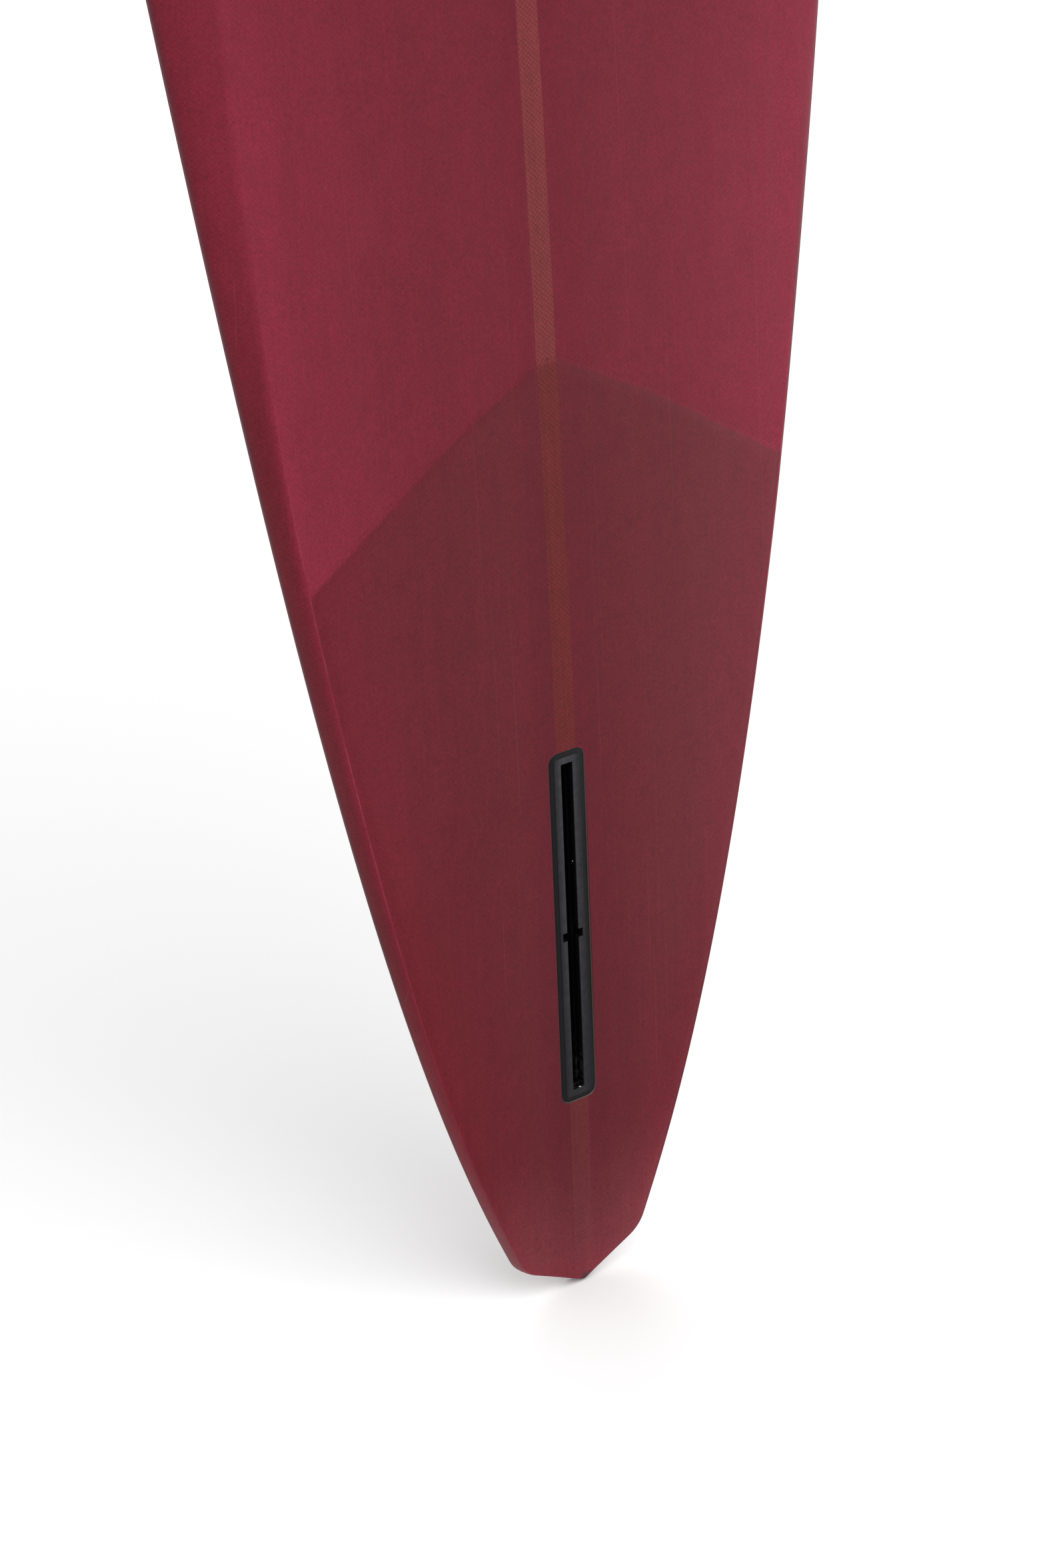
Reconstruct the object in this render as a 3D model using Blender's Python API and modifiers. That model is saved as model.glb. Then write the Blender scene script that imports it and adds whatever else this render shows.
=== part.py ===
"""A longboard surfboard with an empty long fin box, standing on its diamond tail.

Metres. +Z runs along the stringer from the tail to the nose, +Y from the bottom to the deck and
+X across the board. The origin is on the floor, under the middle of the board's box. Along the
board, a place is given as s, the height above the tail tip. Across a row it is given as e, the
distance in from the outline.
"""
import math

import bmesh
import bpy
from mathutils import Matrix, Vector

# Outline, seen from the bottom
LENGTH = 2.896
HALF_WIDTH = 0.289
WIDE_POINT = 1.500
CORNER_X = 0.0525
FACET_ANGLE = math.radians(28.4)
TIP_RADIUS = 0.0062
CORNER_REACH = 0.015
CORNER_SIDE_REACH = 0.0135
TAIL_HIP = 0.0385
TAIL_HIP_POWER = 8.7
TAIL_PULL_POWER = 1.625
NOSE_FULLNESS = 3.8

# Rocker of the bottom, and the foil between bottom and deck
FLAT_POINT = 1.400
TAIL_ROCKER = 0.0394
TAIL_ROCKER_POWER = 2.425
NOSE_ROCKER = 0.118
NOSE_ROCKER_POWER = 2.4
THICKNESS = 0.073
END_THICKNESS = 0.024
TAIL_FOIL_POWER = 2.6
NOSE_FOIL_POWER = 2.8
DECK_CROWN = 0.30
DEPTH_CENTRE = 0.06706

# Rails: the widest line's height over the bottom, and how far in the curves reach
TAIL_RAIL_HEIGHT = 0.0108
HIP_RAIL_HEIGHT = 0.0155
MID_RAIL_HEIGHT = 0.027
HIP_AT = 0.68
RISE_FROM, RISE_RUN = 0.80, 0.70
DROP_FROM, DROP_RUN = 1.70, 1.20
HARD_RAIL_POWER = 1.45
ROUND_RAIL_POWER = 2.0
TAIL_EDGE_TUCK = 0.0041
HIP_EDGE_TUCK = 0.0090
HIP_EDGE_AT = 0.6
SOFT_EDGE_REACH = 0.055
HARD_EDGE_ENDS = 0.55
SOFT_EDGE_STARTS = 1.30
TAIL_DECK_REACH = 0.035
MID_DECK_REACH = 0.075
MID_DECK_REACH_AT = 0.9

# Rows fan round the ends: how quickly the fan fades, and where its rows aim on the centre line
TAIL_FAN_RUN = 0.10
TAIL_FAN_FOOT = 0.060
NOSE_FAN_RUN = 0.26
NOSE_FAN_FOOT = 0.120
FAN_FOOT_SHIFT = 0.5

# Glassing: cloth and resin over the foam
GAP = 0.0003
LAMINATE = 0.0010
PATCH = 0.0005
LAP = 0.045
TAIL_PATCH_APEX = (0.010, 0.704)
TAIL_PATCH_KNEE = (0.079, 0.667)
TAIL_PATCH_RAIL = (0.186, 0.597)
TAIL_PATCH_MARGIN = 0.001
DECK_PATCH_FRONT = 1.720
DECK_PATCH_POINT = 0.120
DECK_PATCH_SHARE = 0.05
STRINGER_HALF = 0.008

# Fin box: a long moulded box for a sliding centre fin
BOX_REAR = 0.1556
BOX_LENGTH = 0.273
BOX_WIDTH = 0.0286
BOX_DEPTH = 0.025
BOX_RADIUS = 0.007
BOX_SINK = 0.0003
FACE_LENGTH = 0.265
FACE_WIDTH = 0.0206
FACE_RADIUS = 0.002
SHOULDER = 0.0006
SLOT_LENGTH = 0.2555
SLOT_WIDTH = 0.0094
SLOT_DEPTH = 0.019
TRACK_WIDTH = 0.0158
TRACK_TOP = 0.005
TRACK_FOOT = 0.0095
NOTCH_LENGTH = 0.0063
NOTCH_WIDTH = 0.0166
NOTCH_OFFSET = -0.0046
NOTCH_FOOT = 0.009
TRACK_END = 0.0005
POTTING = 0.0012

# Leash cup: a round plug in the deck with a steel bar across it
CUP_AT = 0.095
CUP_RADIUS = 0.016
CUP_DEPTH = 0.018
CUP_BOWL_RADIUS = 0.012
CUP_BOWL_DEPTH = 0.015
CUP_BOWL_CORNER = 0.004
CUP_LIP = 0.0015
PIN_RADIUS = 0.002
PIN_LENGTH = 0.029
PIN_DEPTH = 0.005

# Mesh fineness
TIP_STEPS = 2
FACET_STEPS = 3
CORNER_STEPS = 2
SIDE_STEPS = 30
TUCK_SHARES = (0.0, 0.04, 0.15, 0.35, 0.65, 1.0)
BOTTOM_SHARES = (0.12, 0.35, 0.65, 1.0)
SHOULDER_PLACES = (0.001, 0.004, 0.010, 0.021)
DECK_SHARES = (0.12, 0.36, 0.66, 1.0)
ROUND_STEPS = 32
PIN_STEPS = 16
BEVEL_STEPS = 4
SHARP_ANGLE = 35
MERGE = 0.00001

# How far the cutters reach past what they cut
SLICE_REACH = 0.34
SLICE_DEPTH = 0.3
SLICE_END = 0.1
CUT_ABOVE = 0.005
POCKET_ABOVE = 0.008

# Colours as seen, red, green and blue from 0 to 255
TINT = (121, 48, 60)
PATCH_TINT = (110, 46, 55)
WOOD = (150, 92, 66)
FOAM = (236, 232, 222)
BOX_PLASTIC = (44, 42, 44)
RESIN = (104, 66, 66)
CUP_PLASTIC = (30, 30, 32)
STEEL = (190, 192, 196)


def smooth(t):
    """A smooth step from 0 to 1."""
    t = min(max(t, 0.0), 1.0)
    return t * t * (3.0 - 2.0 * t)


# ---- the board's shape ----

def tip_point():
    """Where the tail facets would meet, a little below the rounded tip at s = 0."""
    return -TIP_RADIUS * (1.0 / math.cos(FACET_ANGLE) - 1.0)


def corner_place():
    """How far up the board the diamond tail's corners are."""
    return tip_point() + CORNER_X * math.tan(FACET_ANGLE)


def side_half_width(s):
    """Half the width of the plan outline, forward of the tail's corners."""
    if s > WIDE_POINT:
        u = min((s - WIDE_POINT) / (LENGTH - WIDE_POINT), 1.0)
        return HALF_WIDTH * math.sqrt(1.0 - u ** NOSE_FULLNESS)
    v = (WIDE_POINT - s) / (WIDE_POINT - corner_place())
    pull = (HALF_WIDTH - CORNER_X - TAIL_HIP) * v ** TAIL_PULL_POWER
    return HALF_WIDTH - pull - TAIL_HIP * v ** TAIL_HIP_POWER


def rocker(s):
    """How far the bottom's centre line has curved away towards the deck."""
    if s < FLAT_POINT:
        return TAIL_ROCKER * ((FLAT_POINT - s) / FLAT_POINT) ** TAIL_ROCKER_POWER
    return NOSE_ROCKER * ((s - FLAT_POINT) / (LENGTH - FLAT_POINT)) ** NOSE_ROCKER_POWER


def thickness(s):
    """Bottom to deck on the centre line."""
    if s < WIDE_POINT:
        thinning = (min((WIDE_POINT - s) / WIDE_POINT, 1.0)) ** TAIL_FOIL_POWER
    else:
        thinning = ((s - WIDE_POINT) / (LENGTH - WIDE_POINT)) ** NOSE_FOIL_POWER
    return THICKNESS - (THICKNESS - END_THICKNESS) * thinning


def rail_height(s):
    """The height of the widest line over the bottom."""
    height = TAIL_RAIL_HEIGHT + (HIP_RAIL_HEIGHT - TAIL_RAIL_HEIGHT) * smooth(s / HIP_AT)
    height += (MID_RAIL_HEIGHT - HIP_RAIL_HEIGHT) * smooth((s - RISE_FROM) / RISE_RUN)
    return height - (MID_RAIL_HEIGHT - TAIL_RAIL_HEIGHT) * smooth((s - DROP_FROM) / DROP_RUN)


def softness(s):
    """0 where the bottom meets the rail in a hard edge, 1 where it rolls up."""
    return smooth((s - HARD_EDGE_ENDS) / (SOFT_EDGE_STARTS - HARD_EDGE_ENDS))


def tuck_reach(s):
    """How far in from the outline the underside of the rail reaches."""
    hard = TAIL_EDGE_TUCK + (HIP_EDGE_TUCK - TAIL_EDGE_TUCK) * min(s / HIP_EDGE_AT, 1.0)
    return hard + (SOFT_EDGE_REACH - hard) * softness(s)


def deck_reach(s):
    """How far in from the outline the deck side of the rail reaches."""
    return TAIL_DECK_REACH + (MID_DECK_REACH - TAIL_DECK_REACH) * smooth(s / MID_DECK_REACH_AT)


def outline():
    """The right half of the plan outline as (x, s), from the tail tip to the nose tip."""
    tip = Vector((0.0, tip_point()))
    along = Vector((math.cos(FACET_ANGLE), math.sin(FACET_ANGLE)))
    corner = Vector((CORNER_X, corner_place()))
    centre = Vector((0.0, tip.y + TIP_RADIUS / math.cos(FACET_ANGLE)))
    points = []
    for i in range(TIP_STEPS + 1):
        turn = FACET_ANGLE * i / TIP_STEPS
        points.append(centre + TIP_RADIUS * Vector((math.sin(turn), -math.cos(turn))))
    facet_start = points[-1]
    facet_end = corner - along * CORNER_REACH
    for i in range(1, FACET_STEPS):
        points.append(facet_start.lerp(facet_end, i / FACET_STEPS))
    side_start = corner.y + CORNER_SIDE_REACH
    side_end = Vector((side_half_width(side_start), side_start))
    for i in range(CORNER_STEPS + 1):
        t = i / CORNER_STEPS
        points.append(facet_end.lerp(corner, t).lerp(corner.lerp(side_end, t), t))
    for i in range(1, SIDE_STEPS + 1):
        s = side_start + (LENGTH - side_start) * (1.0 - math.cos(math.pi * i / SIDE_STEPS)) / 2.0
        points.append(Vector((side_half_width(s), s)))
    points[-1].x = 0.0
    return points


def board_rows():
    """Rows from the outline to the centre line: (outline point, direction inwards, length).

    They run straight across in the middle and fan round the tail and the nose.
    """
    edge = outline()
    run = [0.0]
    for a, b in zip(edge, edge[1:]):
        run.append(run[-1] + (b - a).length)
    rows = []
    for point, from_tail in zip(edge, run):
        from_nose = run[-1] - from_tail
        tail_fan = math.exp(-(from_tail / TAIL_FAN_RUN) ** 2)
        nose_fan = math.exp(-(from_nose / NOSE_FAN_RUN) ** 2)
        tail_foot = TAIL_FAN_FOOT + FAN_FOOT_SHIFT * from_tail
        nose_foot = LENGTH - NOSE_FAN_FOOT - FAN_FOOT_SHIFT * from_nose
        foot = point.y + (tail_foot - point.y) * tail_fan + (nose_foot - point.y) * nose_fan
        inwards = Vector((0.0, foot)) - point
        rows.append((point, inwards.normalized(), inwards.length))
    return rows


def skin_point(row, e, deck, inset):
    """A point e in from the outline, on the deck or the bottom, inset under the surface."""
    edge, inwards, length = row
    place = edge + inwards * (inset + e * (length - inset) / length)
    s = place.y
    depth = thickness(s)
    widest = rail_height(edge.y)
    if deck:
        crowned = depth * (1.0 - DECK_CROWN * (1.0 - e / length) ** 2)
        t = min(e / deck_reach(edge.y), 1.0)
        height = widest + (crowned - widest) * math.sqrt(1.0 - (1.0 - t) ** 2)
    else:
        power = HARD_RAIL_POWER + (ROUND_RAIL_POWER - HARD_RAIL_POWER) * softness(edge.y)
        t = min(e / tuck_reach(edge.y), 1.0)
        height = widest * (1.0 - (1.0 - (1.0 - t) ** power) ** (1.0 / power))
    y = rocker(s) + inset + height * (depth - 2.0 * inset) / depth
    x = place.x if e < length else 0.0
    return Vector((x, y - DEPTH_CENTRE, s))


def bottom_places(row):
    """Places e on the bottom of a row, from the centre line out to the outline."""
    edge, _, length = row
    reach = tuck_reach(edge.y)
    flat = [reach + (length - reach) * share for share in reversed(BOTTOM_SHARES)]
    return flat + [reach * share for share in reversed(TUCK_SHARES)]


def deck_places(row):
    """Places e on the deck of a row, from the lap to the centre line."""
    return [LAP] + [LAP + (row[2] - LAP) * share for share in DECK_SHARES]


def bottom_skin_section(row):
    """The bottom laminate: over the bottom, round the rail and LAP onto the deck."""
    places = [(e, False) for e in bottom_places(row)]
    places += [(e, True) for e in SHOULDER_PLACES + (LAP - GAP,)]
    outer = [skin_point(row, e, deck, 0.0) for e, deck in places]
    inner = [skin_point(row, e, deck, LAMINATE) for e, deck in places]
    return outer + inner[::-1]


def deck_skin_section(row):
    """The deck laminate, between the bottom laminate's laps."""
    outer = [skin_point(row, e, True, 0.0) for e in deck_places(row)]
    inner = [skin_point(row, e, True, LAMINATE) for e in deck_places(row)]
    return inner[::-1] + outer


def tail_patch_section(row):
    """A second layer on the bottom, from edge to edge."""
    reach = tuck_reach(row[0].y)
    places = [e for e in bottom_places(row) if e > reach] + [reach + TAIL_PATCH_MARGIN]
    outer = [skin_point(row, e, False, -GAP - PATCH) for e in places]
    inner = [skin_point(row, e, False, -GAP) for e in places]
    return outer + inner[::-1]


def deck_patch_section(row):
    """A second layer on the deck, inside the laps."""
    places = deck_places(row)
    places[0] += DECK_PATCH_SHARE * (row[2] - LAP)
    outer = [skin_point(row, e, True, -GAP - PATCH) for e in places]
    inner = [skin_point(row, e, True, -GAP) for e in places]
    return inner[::-1] + outer


def blank_section(row):
    """The foam and wood under the skins."""
    inset = LAMINATE + GAP
    bottom = [skin_point(row, e, False, inset) for e in bottom_places(row)]
    rail = [skin_point(row, e, True, inset) for e in SHOULDER_PLACES]
    deck = [skin_point(row, e, True, inset) for e in deck_places(row)]
    return bottom + rail + deck


# ---- Blender helpers ----

def clear_scene():
    """Remove everything that the scene holds."""
    for obj in list(bpy.data.objects):
        bpy.data.objects.remove(obj, do_unlink=True)


def linear(channel):
    """A 0 to 255 display channel as scene-linear light."""
    c = channel / 255.0
    return c / 12.92 if c <= 0.04045 else ((c + 0.055) / 1.055) ** 2.4


def material(name, colour, roughness, metallic=0.0):
    """A Principled material with one colour."""
    mat = bpy.data.materials.new(name)
    mat.use_nodes = True
    shader = mat.node_tree.nodes["Principled BSDF"]
    shader.inputs["Base Color"].default_value = (*(linear(c) for c in colour), 1.0)
    shader.inputs["Roughness"].default_value = roughness
    shader.inputs["Metallic"].default_value = metallic
    return mat


def new_collection(name):
    """A collection in the scene."""
    collection = bpy.data.collections.new(name)
    bpy.context.scene.collection.children.link(collection)
    return collection


def add_object(name, bm, collection, mat=None):
    """An object from a bmesh."""
    mesh = bpy.data.meshes.new(name)
    bm.to_mesh(mesh)
    bm.free()
    obj = bpy.data.objects.new(name, mesh)
    if mat:
        mesh.materials.append(mat)
    collection.objects.link(obj)
    return obj


def as_cutter(obj):
    """Hide an object that only shapes others."""
    obj.hide_render = True
    obj.display_type = "WIRE"
    return obj


def seat(name, location, turn, collection):
    """An empty whose +Z points out of the board."""
    empty = bpy.data.objects.new(name, None)
    empty.location = location
    empty.rotation_euler = (turn, 0.0, 0.0)
    collection.objects.link(empty)
    return empty


def mirror(obj):
    """Complete a half that is open at the centre plane."""
    modifier = obj.modifiers.new("Mirror", "MIRROR")
    modifier.use_axis = (True, False, False)
    modifier.merge_threshold = MERGE


def boolean(obj, operation, *others):
    """Join, cut or keep what others cover, in order."""
    for other in others:
        modifier = obj.modifiers.new(other.name, "BOOLEAN")
        modifier.operation = operation
        modifier.solver = "EXACT"
        modifier.object = other


def shade_round(obj):
    """Smooth shading with sharp edges above an angle."""
    obj.data.shade_smooth()
    obj.data.set_sharp_from_angle(angle=math.radians(SHARP_ANGLE))


def half_loft(section):
    """The right half of a piece, lofted through one section a row.

    Each quad is split along the diagonal whose inner end is nearer to the board's end, so that
    parallel surfaces have parallel facets and no triangle lies flat on the centre plane.
    """
    bm = bmesh.new()
    rings = [[bm.verts.new(point) for point in section(row)] for row in board_rows()]
    for i, (low, high) in enumerate(zip(rings, rings[1:])):
        towards_nose = i >= len(rings) // 2
        for a, b, c, d in zip(low, low[1:], high[1:], high):
            inner_first = a.co.x + d.co.x < b.co.x + c.co.x
            if inner_first != towards_nose:
                triangles = ((a, b, c), (a, c, d))
            else:
                triangles = ((a, b, d), (b, c, d))
            for corners in triangles:
                bm.faces.new(corners)
    return bm


def lofted(name, section, collection, mat):
    """A whole lofted piece."""
    obj = add_object(name, half_loft(section), collection, mat)
    mirror(obj)
    shade_round(obj)
    return obj


def block(width, length, low, high, radius=0.0):
    """A block across X and along Y, from low to high, with its upright edges rounded."""
    bm = bmesh.new()
    bmesh.ops.create_cube(bm, size=1.0)
    bmesh.ops.scale(bm, vec=(width, length, high - low), verts=bm.verts)
    bmesh.ops.translate(bm, vec=(0.0, 0.0, (high + low) / 2.0), verts=bm.verts)
    if radius:
        upright = [e for e in bm.edges if e.verts[0].co.z != e.verts[1].co.z]
        bmesh.ops.bevel(bm, geom=upright, offset=radius, segments=BEVEL_STEPS, profile=0.5, affect="EDGES")
    return bm


def prism(points, low, high):
    """A flat shape in X and Z, extruded along Y."""
    bm = bmesh.new()
    face = bm.faces.new([bm.verts.new((x, low, z)) for x, z in points])
    extruded = bmesh.ops.extrude_face_region(bm, geom=[face])
    moved = [v for v in extruded["geom"] if isinstance(v, bmesh.types.BMVert)]
    bmesh.ops.translate(bm, vec=(0.0, high - low, 0.0), verts=moved)
    bmesh.ops.recalc_face_normals(bm, faces=bm.faces)
    return bm


def slice_cutter(name, corners, cutters):
    """A flat shape in X and Z that reaches right through the board."""
    return as_cutter(add_object(name, prism(corners, -SLICE_DEPTH, SLICE_DEPTH), cutters))


def rod(radius, low, high, steps=ROUND_STEPS):
    """A cylinder along Z."""
    bm = bmesh.new()
    middle = Matrix.Translation((0.0, 0.0, (low + high) / 2.0))
    bmesh.ops.create_cone(
        bm, cap_ends=True, segments=steps, radius1=radius, radius2=radius, depth=high - low, matrix=middle
    )
    return bm


def turned(name, profile, collection, mat, parent):
    """A profile of (radius, height) points turned about Z."""
    bm = bmesh.new()
    verts = [bm.verts.new((radius, 0.0, height)) for radius, height in profile]
    for a, b in zip(verts, verts[1:]):
        bm.edges.new((a, b))
    obj = add_object(name, bm, collection, mat)
    obj.parent = parent
    screw = obj.modifiers.new("Screw", "SCREW")
    screw.steps = screw.render_steps = ROUND_STEPS
    screw.use_merge_vertices = True
    screw.merge_threshold = MERGE
    return obj


# ---- the pieces ----

def make_cores(parts, cutters, pockets):
    """Two foam halves glued to the wooden stringer."""
    foam = material("foam", FOAM, 0.9)
    wood = material("stringer_wood", WOOD, 0.6)
    inner = STRINGER_HALF + GAP
    slices = {
        "foam_core_left": (-SLICE_REACH, -inner, foam),
        "stringer": (-STRINGER_HALF, STRINGER_HALF, wood),
        "foam_core_right": (inner, SLICE_REACH, foam),
    }
    tail_end, nose_end = -SLICE_END, LENGTH + SLICE_END
    for name, (low, high, mat) in slices.items():
        corners = [(low, tail_end), (high, tail_end), (high, nose_end), (low, nose_end)]
        keep = slice_cutter(name + "_slice", corners, cutters)
        core = lofted(name, blank_section, parts, mat)
        boolean(core, "INTERSECT", keep)
        boolean(core, "DIFFERENCE", *pockets)


def make_skins(parts, cutters, box_pocket, cup_pocket):
    """The two laminates, and the patches over them."""
    tint = material("tinted_laminate", TINT, 0.55)
    patch_tint = material("tinted_patch", PATCH_TINT, 0.55)
    boolean(lofted("bottom_laminate", bottom_skin_section, parts, tint), "DIFFERENCE", box_pocket)
    boolean(lofted("deck_laminate", deck_skin_section, parts, tint), "DIFFERENCE", cup_pocket)

    arm = [TAIL_PATCH_APEX, TAIL_PATCH_KNEE, TAIL_PATCH_RAIL]
    run_on = Vector(TAIL_PATCH_RAIL) + (Vector(TAIL_PATCH_RAIL) - Vector(TAIL_PATCH_KNEE))
    front = arm + [tuple(run_on)]
    shape = [(-x, z) for x, z in reversed(front)] + front
    shape += [(run_on.x, -SLICE_END), (-run_on.x, -SLICE_END)]
    keep = slice_cutter("tail_patch_shape", shape, cutters)
    tail_patch = lofted("tail_patch", tail_patch_section, parts, patch_tint)
    boolean(tail_patch, "INTERSECT", keep)
    boolean(tail_patch, "DIFFERENCE", box_pocket)

    back = DECK_PATCH_FRONT - DECK_PATCH_POINT
    shape = [(-SLICE_REACH, -SLICE_END), (-SLICE_REACH, back), (0.0, DECK_PATCH_FRONT)]
    shape += [(SLICE_REACH, back), (SLICE_REACH, -SLICE_END)]
    keep = slice_cutter("deck_patch_shape", shape, cutters)
    deck_patch = lofted("deck_patch", deck_patch_section, parts, patch_tint)
    boolean(deck_patch, "INTERSECT", keep)
    boolean(deck_patch, "DIFFERENCE", cup_pocket)


def make_fin_box(parts, cutters, frame):
    """The fin box and the resin that it is set in. Returns the pocket's cutter."""

    def piece(name, bm, mat=None):
        obj = add_object(name, bm, parts if mat else cutters, mat)
        obj.parent = frame
        return obj if mat else as_cutter(obj)

    plastic = material("fin_box_plastic", BOX_PLASTIC, 0.5)
    resin = material("potting_resin", RESIN, 0.4)

    box = piece("fin_box", block(BOX_WIDTH, BOX_LENGTH, -BOX_DEPTH, -SHOULDER, BOX_RADIUS), plastic)
    face = piece("fin_box_face", block(FACE_WIDTH, FACE_LENGTH, -BOX_DEPTH / 2, 0.0, FACE_RADIUS))
    slot = piece("fin_slot", block(SLOT_WIDTH, SLOT_LENGTH, -SLOT_DEPTH, CUT_ABOVE))
    track_length = SLOT_LENGTH - 2 * TRACK_END
    track = piece("fin_track", block(TRACK_WIDTH, track_length, -TRACK_FOOT, -TRACK_TOP))
    notch = piece("fin_notch", block(NOTCH_WIDTH, NOTCH_LENGTH, -NOTCH_FOOT, CUT_ABOVE))
    notch.location.y = NOTCH_OFFSET
    boolean(box, "UNION", face)
    boolean(box, "DIFFERENCE", slot, track, notch)

    hollow = (BOX_WIDTH + 2 * GAP, BOX_LENGTH + 2 * GAP, BOX_DEPTH + GAP, BOX_RADIUS + GAP)
    cavity = piece("fin_box_cavity", block(hollow[0], hollow[1], -hollow[2], CUT_ABOVE, hollow[3]))
    outer = [size + grow * POTTING for size, grow in zip(hollow, (2, 2, 1, 1))]
    bed = piece("fin_box_potting", block(outer[0], outer[1], -outer[2], 0.0, outer[3]), resin)
    boolean(bed, "DIFFERENCE", cavity)
    pocket = [size + grow * GAP for size, grow in zip(outer, (2, 2, 1, 1))]
    return piece("fin_box_pocket", block(pocket[0], pocket[1], -pocket[2], POCKET_ABOVE, pocket[3]))


def make_leash_cup(parts, cutters, frame):
    """The leash cup, its bar and its resin. Returns the pocket's cutter."""
    plastic = material("leash_cup_plastic", CUP_PLASTIC, 0.35)
    steel = material("leash_pin_steel", STEEL, 0.25, 1.0)
    resin = material("cup_potting_resin", RESIN, 0.4)

    profile = [
        (0.0, -CUP_BOWL_DEPTH),
        (CUP_BOWL_RADIUS - CUP_BOWL_CORNER, -CUP_BOWL_DEPTH),
        (CUP_BOWL_RADIUS, CUP_BOWL_CORNER - CUP_BOWL_DEPTH),
        (CUP_BOWL_RADIUS, -CUP_LIP),
        (CUP_BOWL_RADIUS + CUP_LIP, 0.0),
        (CUP_RADIUS, 0.0),
        (CUP_RADIUS, -CUP_DEPTH),
        (0.0, -CUP_DEPTH),
    ]
    cup = turned("leash_cup", profile, parts, plastic, frame)
    across = Matrix.Rotation(math.pi / 2, 4, "Y")
    sockets_bm = rod(PIN_RADIUS + GAP, -PIN_LENGTH / 2 - GAP, PIN_LENGTH / 2 + GAP, PIN_STEPS)
    bmesh.ops.transform(sockets_bm, matrix=across, verts=sockets_bm.verts)
    sockets = as_cutter(add_object("pin_sockets", sockets_bm, cutters))
    pin_bm = rod(PIN_RADIUS, -PIN_LENGTH / 2, PIN_LENGTH / 2, PIN_STEPS)
    bmesh.ops.transform(pin_bm, matrix=across, verts=pin_bm.verts)
    pin = add_object("leash_pin", pin_bm, parts, steel)
    for obj in (sockets, pin):
        obj.parent = frame
        obj.location.z = -PIN_DEPTH
    boolean(cup, "DIFFERENCE", sockets)

    inner = CUP_RADIUS + GAP
    floor = CUP_DEPTH + GAP
    bed_profile = [
        (0.0, -floor),
        (inner, -floor),
        (inner, 0.0),
        (inner + POTTING, 0.0),
        (inner + POTTING, -floor - POTTING),
        (0.0, -floor - POTTING),
    ]
    turned("leash_cup_potting", bed_profile, parts, resin, frame)
    pocket_bm = rod(inner + POTTING + GAP, -floor - POTTING - GAP, POCKET_ABOVE)
    pocket = as_cutter(add_object("leash_cup_pocket", pocket_bm, cutters))
    pocket.parent = frame
    return pocket


def slope(height, s):
    """How steeply a height changes along the board."""
    step = 0.001
    return (height(s + step) - height(s - step)) / (2.0 * step)


def main():
    clear_scene()
    parts = new_collection("longboard_surfboard")
    cutters = new_collection("cutters")

    box_at = BOX_REAR + BOX_LENGTH / 2
    box_y = rocker(box_at) - GAP - PATCH + BOX_SINK - DEPTH_CENTRE
    box_turn = math.pi / 2 + math.atan(-slope(rocker, box_at))
    box_frame = seat("fin_box_frame", (0.0, box_y, box_at), box_turn, parts)

    def deck_line(s):
        return rocker(s) + thickness(s)

    cup_y = deck_line(CUP_AT) + GAP + PATCH - DEPTH_CENTRE
    cup_turn = -math.pi / 2 - math.atan(slope(deck_line, CUP_AT))
    cup_frame = seat("leash_cup_frame", (0.0, cup_y, CUP_AT), cup_turn, parts)

    box_pocket = make_fin_box(parts, cutters, box_frame)
    cup_pocket = make_leash_cup(parts, cutters, cup_frame)
    make_cores(parts, cutters, (box_pocket, cup_pocket))
    make_skins(parts, cutters, box_pocket, cup_pocket)


main()
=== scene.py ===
"""The looks of the longboard surfboard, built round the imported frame.

Metres. +Z runs along the stringer from the tail to the nose, +Y from the bottom to the deck and
+X across the board. Along the board, a place is given as s, the height above the tail tip. Across
a row it is given as e, the distance in from the outline.
"""
import math

import bmesh
import bpy
from mathutils import Matrix, Vector


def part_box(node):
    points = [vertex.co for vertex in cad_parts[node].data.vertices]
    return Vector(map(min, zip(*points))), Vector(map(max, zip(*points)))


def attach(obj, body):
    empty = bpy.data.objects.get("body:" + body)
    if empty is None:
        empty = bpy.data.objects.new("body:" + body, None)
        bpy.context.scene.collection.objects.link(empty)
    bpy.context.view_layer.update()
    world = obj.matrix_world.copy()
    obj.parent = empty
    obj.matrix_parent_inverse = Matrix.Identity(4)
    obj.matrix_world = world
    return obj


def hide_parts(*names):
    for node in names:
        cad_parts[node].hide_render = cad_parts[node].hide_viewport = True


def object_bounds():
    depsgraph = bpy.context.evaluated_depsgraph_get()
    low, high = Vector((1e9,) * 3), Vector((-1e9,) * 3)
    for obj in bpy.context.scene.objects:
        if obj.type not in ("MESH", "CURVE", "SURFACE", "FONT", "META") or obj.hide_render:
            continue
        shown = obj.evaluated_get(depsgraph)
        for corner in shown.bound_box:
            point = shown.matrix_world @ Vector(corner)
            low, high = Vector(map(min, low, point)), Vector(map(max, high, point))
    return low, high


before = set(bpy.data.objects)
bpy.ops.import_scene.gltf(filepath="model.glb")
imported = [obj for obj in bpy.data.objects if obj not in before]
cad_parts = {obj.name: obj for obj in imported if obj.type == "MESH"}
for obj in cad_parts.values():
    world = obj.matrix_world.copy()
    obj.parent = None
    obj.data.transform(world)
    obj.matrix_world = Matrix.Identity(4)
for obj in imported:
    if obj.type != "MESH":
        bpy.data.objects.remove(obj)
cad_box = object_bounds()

# Size of the board and of its fittings, from the frame
LOW, HIGH = (Vector(corner) for corner in cad_box)
LENGTH = HIGH.z - LOW.z
HALF_WIDTH = (HIGH.x - LOW.x) / 2
BOX_LOW, BOX_HIGH = (Vector(corner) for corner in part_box("fin_box"))
CUP_LOW, CUP_HIGH = (Vector(corner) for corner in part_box("leash_cup"))
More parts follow.
